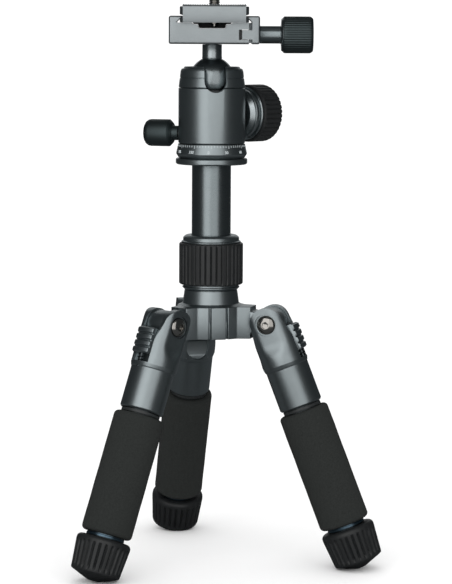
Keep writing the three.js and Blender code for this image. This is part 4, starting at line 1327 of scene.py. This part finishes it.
class TRIPOD_OT_plate(bpy.types.Operator):
    """Makes the camera plate, its ridged pad and the camera screw"""

    bl_idname = "tripod.plate"
    bl_label = "Camera plate"

    def execute(self, context):
        low, high = local_box("camera_plate", CLAMP)
        flank_level, flank_half = plate_flank()
        right = [
            (high.x, low.z, 0.5),
            (high.x, low.z + 2.1, 0.2),
            (flank_half, flank_level, 0.2),
            (high.x, flank_level + 0.6, 0.2),
            (high.x, high.z, 0.5),
        ]
        left = [(-x, z, r) for x, z, r in reversed(right)]
        plate = bar("dovetail_plate", filleted(right + left), low.y, high.y)
        corners = self.corners(low, high)
        room = turned("room", [(0, low.z - 1), (7.9, low.z - 1), (7.9, low.z + 3), (0, low.z + 3)], 64)
        hole = turned("hole", [(0, low.z), (3.5, low.z), (3.5, high.z + 1), (0, high.z + 1)], SMALL)
        combined(plate, [corners], "INTERSECT")
        combined(plate, [room, hole], "DIFFERENCE")
        edged(plate, 0.3, 50, 2)
        shown(moved(plate, CLAMP), GREY, "plate", "camera_plate")
        # A dark nylon block in the clamp base's recess, behind the centre screw. It is painted shade, so the
        # recess looks dark from the front instead of open to the light behind it.
        stem = (COLUMN.translation.x - CLAMP.translation.x) / MM
        floor = levels("clamp_base", CLAMP)[1] - RECESS_FLOOR
        recess_shade_outline = [
            (stem - 7.4, floor - 3.1, 0.9),
            (stem + 7.4, floor - 3.1, 0.9),
            (stem + 7.8, floor - 0.85, 0.2),
            (stem + 10.3, floor - 0.8, 0.5),
            (stem + 11.3, low.z + 0.3),
            (stem - 11.3, low.z + 0.3),
            (stem - 10.3, floor - 0.8, 0.5),
            (stem - 7.8, floor - 0.85, 0.2),
        ]
        shown(moved(bar("recess_shade_block", filleted(recess_shade_outline), 9, 13), CLAMP), NYLON, "plate")
        self.pad()
        self.screw()
        return {"FINISHED"}

    def corners(self, low, high):
        """The plate from above, with its corners cut at a slant."""
        cut = 1.7
        x, y = high.x + 0.01, high.y + 0.01
        outline = [(x - cut, -y), (x, -y + cut), (x, y - cut), (x - cut, y)]
        outline += [(-a, -b) for a, b in outline]
        return prism("corners", outline, low.z - 2, high.z + 2)

    def pad(self):
        """The rubber pad: a thin sheet with sharp ridges across it."""
        low, high = local_box("plate_pad", CLAMP)
        ridges = sizes().pad_ridges
        pitch = (high.x - low.x) / ridges
        height = 0.8
        top = low.z + 0.3
        base = slab("ridged_pad", low, (high.x, high.y, top))
        moved(base, Matrix.Translation((-(low.x + pitch / 2) * MM, 0, -top * MM)))
        grown(
            base,
            bpy.data.node_groups["Ridges side by side"],
            Count=ridges,
            Pitch=pitch * MM,
            Length=(high.y - low.y) * MM,
            Height=height * MM,
            Material=material(PAD[0]),
        )
        moved(base, Matrix.Translation(((low.x + pitch / 2) * MM, 0, top * MM)))
        shown(moved(base, CLAMP), PAD, "plate", "plate_pad")

    def screw(self):
        """The 1/4-inch screw: slotted head, waist and cut thread."""
        low, high = levels("camera_screw", CLAMP)
        size = 3.175
        head = low + 2.3
        turns = 160
        outline = [(0, low - 2.5), (1.2, low - 2.5), (1.4, low - 2.3), (1.4, low - 1), (3.2, low - 1)]
        outline += [(3.4, low - 0.8), (3.4, low + 0.2), (6.8, low + 0.2), (7.2, low + 0.4), (7.4, low + 0.8)]
        outline += [(7.4, head - 0.4), (7.1, head), (2.5, head), (2.5, head + 4.5), (size, head + 5)]
        top = high - 0.6
        outline += [(size, head + 5 + (top - head - 5) * i / turns) for i in range(1, turns + 1)]
        outline += [(size - 0.6, high), (0, high)]
        screw = turned("camera_screw_threaded", outline, SMALL)
        grown(
            screw,
            bpy.data.node_groups["Ribs"],
            Count=1.0,
            Depth=0.62 * MM,
            Land=0.12,
            Low=(head + 5) * MM,
            High=(high + 1) * MM,
            Fade=0.5 * MM,
            Core=2.7 * MM,
            Twist=1 / sizes().camera_pitch,
            Material=material(STEEL[0]),
        )
        slots = [slab("slot", (x, -0.9, low - 1), (x + 4, 0.9, low + 1.2)) for x in (-8, 4)]
        combined(screw, slots, "DIFFERENCE")
        shown(moved(screw, CLAMP), STEEL, "camera_screw", "camera_screw")


class TRIPOD_OT_clamp_screws(bpy.types.Operator):
    """Makes the clamp's centre screw"""

    bl_idname = "tripod.clamp_screws"
    bl_label = "Clamp centre screw"

    def execute(self, context):
        low, high = levels("clamp_centre_screw", COLUMN)
        size = radius("clamp_centre_screw", COLUMN)
        outline = [(0, low), (1.9, low), (1.9, high - 2.6), (size, high - 2.6), (size, high - 0.3)]
        outline += [(size - 0.3, high), (1.75, high, 6), (1.7, high - 1.5, 6), (0, high - 1.8)]
        shown(moved(turned("clamp_socket_screw", outline, 72), COLUMN), STEEL, "clamp", "clamp_centre_screw")
        return {"FINISHED"}


# ---- Legs ----


def fork_side(size, ear, slot):
    """A shoulder from the side: round ears that widen into the barrel."""
    wide = size + 1
    side = [(-wide, -60), (wide, -60), (wide, -slot - 1.5, 8)]
    side += arc(0, 0, ear, 0, 180, 40)
    side += [(-wide, -slot - 1.5, 8)]
    return filleted(side, 8)


class TRIPOD_OT_shoulders(bpy.types.Operator):
    """Makes the three forked leg shoulders"""

    bl_idname = "tripod.shoulders"
    bl_label = "Leg shoulders"

    def execute(self, context):
        for number in LEGS:
            self.shoulder(number)
        return {"FINISHED"}

    def shoulder(self, number):
        place = LEG[number]
        low, high = levels(f"leg_shoulder_{number}", place)
        size = FORK_RADIUS
        step = FORK_STEP
        outline = filleted(
            [
                (10.5, low),
                (11.5, low, 0.4),
                (12.2, low + 0.9, 0.8),
                (12.2, step - 2.2, 0.5),
                (12.55, step - 1.7, 0.2),
                (size, step + 0.2, 0.6),
                *[(size, step + 2 + 1.5 * i) for i in range(int((high - step) / 1.5))],
                (size, high + 1),
                (0, high + 1),
                (0, low + 18),
                (10.5, low + 18),
            ]
        )
        fork = turned(f"leg_fork_{number}", self.poled(outline))
        self.flatten(fork, FORK_FLAT)
        combined(fork, [bar("side", fork_side(size, high, WINDOW_END), -15, 15)], "INTERSECT")
        combined(fork, self.cutters(high), "DIFFERENCE")
        edged(fork, 0.35, 40, 3)
        floor = [(-12.2, -25), (9.3, -25), (9.3, -10.5), (1, -10.5), (-6, -15), (-11, -21.5)]
        filler = bar("slot_floor", filleted([(*p, 2) for p in floor]), -6.6, 6.6)
        fork = joined(f"leg_fork_{number}", [fork, filler])
        shown(moved(fork, place), GUNMETAL, f"leg_{number}", f"leg_shoulder_{number}")

    def poled(self, outline):
        """The outline reordered to start and end on the axis."""
        first = max(i for i, p in enumerate(outline) if p[0] == 0)
        return outline[first:] + outline[:first]

    def flatten(self, fork, flat):
        """Presses a flat on both sides of the fork that runs out smoothly below it."""
        soft = 0.45
        for vertex in fork.data.vertices:
            y, z = vertex.co.y / MM, vertex.co.z / MM
            if z < FORK_STEP or abs(y) < 6:
                continue
            share = min(1, max(0, (-11.5 - z) / 12))
            limit = flat + 3.2 * share * share * (3 - 2 * share)
            kept = -soft * math.log(math.exp(-abs(y) / soft) + math.exp(-limit / soft))
            vertex.co.y = math.copysign(kept * MM, y)

    def cutters(self, ear):
        flat, half = FORK_FLAT, SLOT_HALF
        cuts = [
            slab("slot", (-20, -half, SLOT_END), (20, half, ear + 3)),
            slab("window", (0, -half, -WINDOW_END), (20, half, -15)),
        ]
        rounded = [(0, -20), (half, -20), (half, 0.5), (0, 0.5)]
        end = lying(turned("end", rounded, 64), Matrix.Translation((0, 0, SLOT_END * MM)), (1, 0, 0))
        through = turned("bolt", [(0, -20), (3.3, -20), (3.3, 20), (0, 20)], SMALL)
        cuts += [end, lying(through, Matrix(), (0, 1, 0))]
        for way in (-1, 1):
            bore = turned("bore", [(0, flat - 1.4), (6.2, flat - 1.4), (6.2, flat + 5), (0, flat + 5)], 64)
            cuts.append(lying(bore, Matrix(), (0, way, 0)))
        return cuts


class TRIPOD_OT_pivot_screws(bpy.types.Operator):
    """Makes the domed pivot bolts and barrel nuts"""

    bl_idname = "tripod.pivot_screws"
    bl_label = "Pivot bolts"

    def execute(self, context):
        for number in LEGS:
            for kind, way in (("bolt", -1), ("nut", 1)):
                self.screw(number, kind, way)
        return {"FINISHED"}

    def screw(self, number, kind, way):
        """A domed head with a hexagon socket, on a short shank."""
        seat = 10.1
        size = 5.3
        top = seat + 2.3
        outline = [(0, 2.4), (3, 2.4), (3, seat), (size, seat), (size, seat + 0.2)]
        dome = [0.14 * i for i in range(1, 9)]
        rise = (top - seat - 0.2) / math.sin(dome[-1])
        outline += [(size * math.cos(t), seat + 0.2 + rise * math.sin(t)) for t in dome]
        outline += [(2.15, top, 6), (2.1, top - 1.5, 6), (0, top - 1.9)]
        screw = turned(f"domed_pivot_{kind}_{number}", outline, 72)
        lying(screw, LEG[number], (0, way, 0))
        shown(screw, STEEL, f"leg_{number}", f"pivot_{kind}_{number}")


class TRIPOD_OT_angle_locks(bpy.types.Operator):
    """Makes the angle-lock slides with their pins and springs"""

    bl_idname = "tripod.angle_locks"
    bl_label = "Angle locks"

    def execute(self, context):
        for number in LEGS:
            self.slide(number)
            self.pin(number)
            self.spring(number)
        return {"FINISHED"}

    def slide(self, number):
        place = LEG[number]
        low, high = local_box(f"angle_lock_slide_{number}", place)
        ribs = 4
        pitch = (high.z - low.z) / ribs
        corners = [(0, low.z)]
        for i in range(ribs):
            start = low.z + pitch * i
            corners += [
                (high.x - 0.9, start + 0.05, 0.15),
                (high.x, start + 0.75, 0.4),
                (high.x, start + pitch - 0.85, 0.4),
                (high.x - 0.9, start + pitch - 0.3, 0.15),
            ]
        corners += [(high.x - 1.0, high.z, 0.1), (0, high.z)]
        slide = turned(f"lock_slide_{number}", filleted(corners))
        tall = (low.z - 1, high.z + 1)
        combined(slide, [slab("sides", (low.x, low.y, tall[0]), (20, high.y, tall[1]))], "INTERSECT")
        edged(slide, 0.3, 50, 2)
        shown(moved(slide, place), GUNMETAL, f"angle_lock_{number}", f"angle_lock_slide_{number}")

    def pin(self, number):
        place = LEG[number]
        node_name = f"angle_lock_pin_{number}"
        low, high = local_box(node_name, place)
        centre = (low.x + high.x) / 2
        outline = [(0, low.z), (1.2, low.z), (1.2, high.z - 0.3), (0.9, high.z), (0, high.z)]
        pin = turned(f"lock_guide_pin_{number}", outline, 32)
        moved(pin, place @ Matrix.Translation((centre * MM, 0, 0)))
        shown(pin, SPRING, f"leg_{number}", node_name)

    def spring(self, number):
        """The return spring between the slide and the end of its slot."""
        place = LEG[number]
        low, high = local_box(f"angle_lock_pin_{number}", place)
        slide_low = levels(f"angle_lock_slide_{number}", place)[0]
        start, end = -23.4, slide_low - 0.15
        centre = (low.x + high.x) / 2
        wire, coil, turns = 0.26, 1.75, 2
        made = bmesh.new()
        rings = []
        steps = turns * TURN_STEPS
        for i in range(steps + 1):
            turn = 2 * math.pi * i / TURN_STEPS
            lift = start + wire + (end - start - 2 * wire) * i / steps
            ring = []
            for k in range(WIRE_SIDES):
                a = 2 * math.pi * k / WIRE_SIDES
                reach = coil + wire * math.cos(a)
                point = (centre + reach * math.cos(turn), reach * math.sin(turn), lift + wire * math.sin(a))
                ring.append(made.verts.new(Vector(point) * MM))
            rings.append(ring)
        for near, far in zip(rings, rings[1:]):
            for k in range(WIRE_SIDES):
                beside = (k + 1) % WIRE_SIDES
                made.faces.new([near[k], near[beside], far[beside], far[k]])
        made.faces.new(rings[0])
        made.faces.new(rings[-1])
        spring = moved(mesh_piece(f"lock_spring_{number}", made), place)
        shown(spring, SPRING, f"leg_{number}")
        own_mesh(spring)


class TRIPOD_OT_leg_tubes(bpy.types.Operator):
    """Makes the leg tubes and the rings at each end of the grips"""

    bl_idname = "tripod.leg_tubes"
    bl_label = "Leg tubes and rings"

    def execute(self, context):
        for number in LEGS:
            self.tube(number)
            self.top_ring(number)
            self.foot_ring(number)
        return {"FINISHED"}

    def tube(self, number):
        low, high = levels(f"leg_tube_{number}", LEG[number])
        size = radius(f"leg_tube_{number}", LEG[number])
        outline = [(size - 1.2, low), (size, low), (size, high), (size - 1.2, high)]
        tube = moved(turned(f"inner_leg_tube_{number}", outline, 96), LEG[number])
        shown(tube, BLACK, f"leg_{number}", f"leg_tube_{number}")

    def top_ring(self, number):
        low, high = levels(f"grip_top_ring_{number}", LEG[number])
        size = radius(f"grip_top_ring_{number}", LEG[number])
        outline = filleted([(10.3, low), (size, low, 0.3), (size, high, 0.3), (10.3, high)])
        ring = moved(turned(f"grip_stop_ring_{number}", outline), LEG[number])
        shown(ring, NYLON, f"leg_{number}", f"grip_top_ring_{number}")

    def foot_ring(self, number):
        low, high = levels(f"foot_ring_{number}", LEG[number])
        size = radius(f"foot_ring_{number}", LEG[number])
        outline = filleted(
            [
                (10.3, low),
                (size, low, 0.15),
                (size, low + 1.1, 0.15),
                (size - 0.25, low + 1.3),
                (size - 0.25, high),
                (10.3, high),
            ]
        )
        ring = moved(turned(f"foot_joint_ring_{number}", outline), LEG[number])
        shown(ring, BLUE, f"leg_{number}", f"foot_ring_{number}")


class TRIPOD_OT_foam_grips(bpy.types.Operator):
    """Makes the three foam grips"""

    bl_idname = "tripod.foam_grips"
    bl_label = "Foam grips"

    def execute(self, context):
        for number in LEGS:
            self.grip(number)
        return {"FINISHED"}

    def grip(self, number):
        place = LEG[number]
        low, high = levels(f"foam_grip_{number}", place)
        size = radius(f"foam_grip_{number}", place)
        end = 2.4
        outline = [(10.6, low), (12, low)]
        outline += arc(size - end, low + end, end, -84, 0, 8)
        outline += [(size, low + end + (high - low - 2 * end) * i / 30) for i in range(1, 30)]
        outline += arc(size - end, high - end, end, 0, 84, 8)
        outline += [(12, high), (10.6, high)]
        grip = turned(f"foam_sleeve_{number}", outline, 144)
        for vertex in grip.data.vertices:  # foam is ground round, never quite evenly
            x, y, z = (c / MM for c in vertex.co)
            if math.hypot(x, y) > 11:
                wave = math.sin(z * 0.31 + number) * math.cos(math.atan2(y, x) * 2 + z * 0.05)
                vertex.co.xy *= 1 - 0.05 / size * (1 + wave)
        shown(moved(grip, place), FOAM, f"leg_{number}", f"foam_grip_{number}")


class TRIPOD_OT_feet(bpy.types.Operator):
    """Makes the three ribbed rubber feet"""

    bl_idname = "tripod.feet"
    bl_label = "Rubber feet"

    def execute(self, context):
        for number in LEGS:
            self.foot(number)
        return {"FINISHED"}

    def foot(self, number):
        place = LEG[number]
        low, high = levels(f"rubber_foot_{number}", place)
        size = radius(f"rubber_foot_{number}", place)
        tilt = math.acos(place.to_3x3().col[2].z)
        rim, tip = size - 1.4, 3.0
        edge = low + (rim - tip) * math.tan(tilt)
        ribs = sizes().foot_ribs
        steps = [i / 14 for i in range(15)]
        wall = [(rim + (size - rim) * t, edge + 0.8 + (high - edge - 4) * t) for t in steps]
        outline = [(0, low), *[(tip * t, low) for t in (0.5, 1)], (rim - 0.9, edge - 0.9 * math.tan(tilt))]
        outline += [(rim - 0.25, edge + 0.05)] + wall
        outline += arc(size - 2.6, high - 2.6, 2.6, 15, 84, 7)
        outline += [(10.6, high), (10.6, high - 6), (0, high - 6)]
        foot = turned(f"ribbed_foot_{number}", outline, ribs * 12)
        grown(
            foot,
            bpy.data.node_groups["Ribs"],
            Count=float(ribs),
            Depth=sizes().foot_groove,
            Land=0.42,
            Low=(edge + 1.2) * MM,
            High=(high - 3.0) * MM,
            Fade=1.2 * MM,
            Core=(rim - 0.9) * MM,
            Twist=0.0,
            Material=material(RUBBER[0]),
        )
        shown(moved(foot, place), RUBBER, f"leg_{number}", f"rubber_foot_{number}")


class TRIPOD_OT_inner_pieces(bpy.types.Operator):
    """Gives the CAD pieces inside the tripod their finishes"""

    bl_idname = "tripod.inner_pieces"
    bl_label = "Inner pieces"

    def execute(self, context):
        kept = {
            NYLON: ("column_collet", "ball_cup"),
            STEEL: (
                "head_stud",
                "main_knob_shaft",
                "pan_lock_screw",
                "jaw_guide_pin_front",
                "jaw_guide_pin_rear",
                "clamp_screw",
            ),
        }
        for finish, names in kept.items():
            for name in names:
                mesh = frame["nodes"][name].data
                mesh.materials.clear()
                mesh.materials.append(material(finish[0]))
        return {"FINISHED"}


# ---- Stage ----


class TRIPOD_OT_stage(bpy.types.Operator):
    """Makes the floor, the soft lights, the world and the camera"""

    bl_idname = "tripod.stage"
    bl_label = "Stage"

    def execute(self, context):
        self.floor()
        self.world(context.scene)
        aim = COLUMN.translation + Vector((0, 0, 0.16))
        self.panel("left_panel", aim, -25, 13, (1.15, 2.0), 1.38)
        self.panel("right_panel", aim, 19, 13, (1.2, 2.0), 0.98)
        self.panel("top_panel", aim, 0, 80, (0.7, 0.7), 0.12)
        self.panel("rear_panel", aim, 180, 22, (1.3, 1.5), 0.5)
        self.camera(context.scene)
        context.scene.view_settings.view_transform = "Standard"
        return {"FINISHED"}

    def floor(self):
        made = bmesh.new()
        bmesh.ops.create_circle(made, cap_ends=True, radius=0.6, segments=96)
        floor = mesh_piece("floor", made)
        pale = linear("#f4f4f4")
        paper, tree, shader, where = surface("matt_white_paper", pale, 0.0, 0.9)
        tinted(tree, shader, grain(tree, where, 40), pale, 0.01)
        # Metal shows a dark floor, as if it stood on a narrow white sheet in a dark room.
        dark = node(tree, "ShaderNodeBsdfDiffuse", {"Color": (0.07, 0.075, 0.078, 1)})
        path = node(tree, "ShaderNodeLightPath")
        mixed = node(
            tree,
            "ShaderNodeMixShader",
            {0: path.outputs["Is Glossy Ray"], 1: shader.outputs[0], 2: dark.outputs[0]},
        )
        output = next(n for n in tree.nodes if n.type == "OUTPUT_MATERIAL")
        tree.links.new(mixed.outputs[0], output.inputs["Surface"])
        floor.data.materials.append(paper)

    def world(self, scene):
        """White to the camera and to matt surfaces, and nearly dark in what the metal reflects."""
        world = bpy.data.worlds.new("studio")
        world.use_nodes = True
        tree = world.node_tree
        tree.nodes.clear()
        white = node(tree, "ShaderNodeBackground", {"Color": (1, 1, 1, 1), "Strength": 1.12})
        dim = node(tree, "ShaderNodeBackground", {"Color": (0.85, 0.95, 1.0, 1), "Strength": 0.05})
        path = node(tree, "ShaderNodeLightPath")
        mix = node(
            tree,
            "ShaderNodeMixShader",
            {0: path.outputs["Is Glossy Ray"], 1: white.outputs[0], 2: dim.outputs[0]},
        )
        node(tree, "ShaderNodeOutputWorld", {"Surface": mix.outputs[0]})
        scene.world = world

    def panel(self, name, aim, across, up, size, brightness):
        """A soft panel 1.5 m away, turned across and up by degrees from the front."""
        turn, rise = math.radians(across), math.radians(up)
        away = Vector((math.sin(turn) * math.cos(rise), -math.cos(turn) * math.cos(rise), math.sin(rise)))
        position = aim + away * 1.5
        data = bpy.data.lights.new(name, "AREA")
        data.shape = "RECTANGLE"
        data.size, data.size_y = size
        data.energy = brightness * math.pi * size[0] * size[1]
        lamp = bpy.data.objects.new(name, data)
        lamp.location = position
        lamp.rotation_euler = (aim - position).to_track_quat("-Z", "Y").to_euler()
        bpy.context.scene.collection.objects.link(lamp)

    def camera(self, scene):
        """A long lens in front of the tripod, a little above its middle, tipped down."""
        distance, height = 1.3268, 0.3037
        data = bpy.data.cameras.new("camera")
        data.sensor_width = 36
        data.lens = 145.81233
        data.shift_x = 0.0259
        camera = bpy.data.objects.new("camera", data)
        camera.location = COLUMN.translation + Vector((0, -distance, height))
        tipped_down, rolled = 6.474, 0.286
        tip = Matrix.Rotation(math.radians(90 - tipped_down), 4, "X")
        roll = Matrix.Rotation(math.radians(rolled), 4, "Z")
        camera.rotation_euler = (tip @ roll).to_euler()
        scene.collection.objects.link(camera)
        scene.camera = camera


STEPS = (
    TRIPOD_OT_stage,
    TRIPOD_OT_crown,
    TRIPOD_OT_collar,
    TRIPOD_OT_pan_base,
    TRIPOD_OT_housing,
    TRIPOD_OT_ball,
    TRIPOD_OT_lock_knobs,
    TRIPOD_OT_clamp,
    TRIPOD_OT_plate,
    TRIPOD_OT_clamp_screws,
    TRIPOD_OT_shoulders,
    TRIPOD_OT_pivot_screws,
    TRIPOD_OT_angle_locks,
    TRIPOD_OT_leg_tubes,
    TRIPOD_OT_foam_grips,
    TRIPOD_OT_feet,
    TRIPOD_OT_inner_pieces,
)


class TRIPOD_PT_panel(bpy.types.Panel):
    """Lists the tripod's sizes, colours and pieces"""

    bl_idname = "TRIPOD_PT_panel"
    bl_label = "Table tripod"
    bl_space_type = "VIEW_3D"
    bl_region_type = "UI"
    bl_category = "Tripod"

    def draw(self, context):
        for group in (context.scene.tripod_sizes, context.scene.tripod_finishes):
            for name in group.__annotations__:
                self.layout.prop(group, name)
        for step in STEPS:
            self.layout.operator(step.bl_idname)


CLASSES = (TripodFinishes, TripodSizes, *STEPS, TRIPOD_PT_panel)


def register():
    for one in CLASSES:
        bpy.utils.register_class(one)
    bpy.types.Scene.tripod_sizes = bpy.props.PointerProperty(type=TripodSizes)
    bpy.types.Scene.tripod_finishes = bpy.props.PointerProperty(type=TripodFinishes)


def unregister():
    del bpy.types.Scene.tripod_finishes
    del bpy.types.Scene.tripod_sizes
    for one in reversed(CLASSES):
        bpy.utils.unregister_class(one)


def main():
    for o in list(bpy.context.scene.objects):
        if o.name in ("Cube", "Light", "Camera"):
            bpy.data.objects.remove(o)
    register()
    ribs_tree()
    marks_tree()
    ridges_tree()
    for step in STEPS:
        area, name = step.bl_idname.split(".")
        getattr(getattr(bpy.ops, area), name)()


if __name__ == "__main__":
    main()
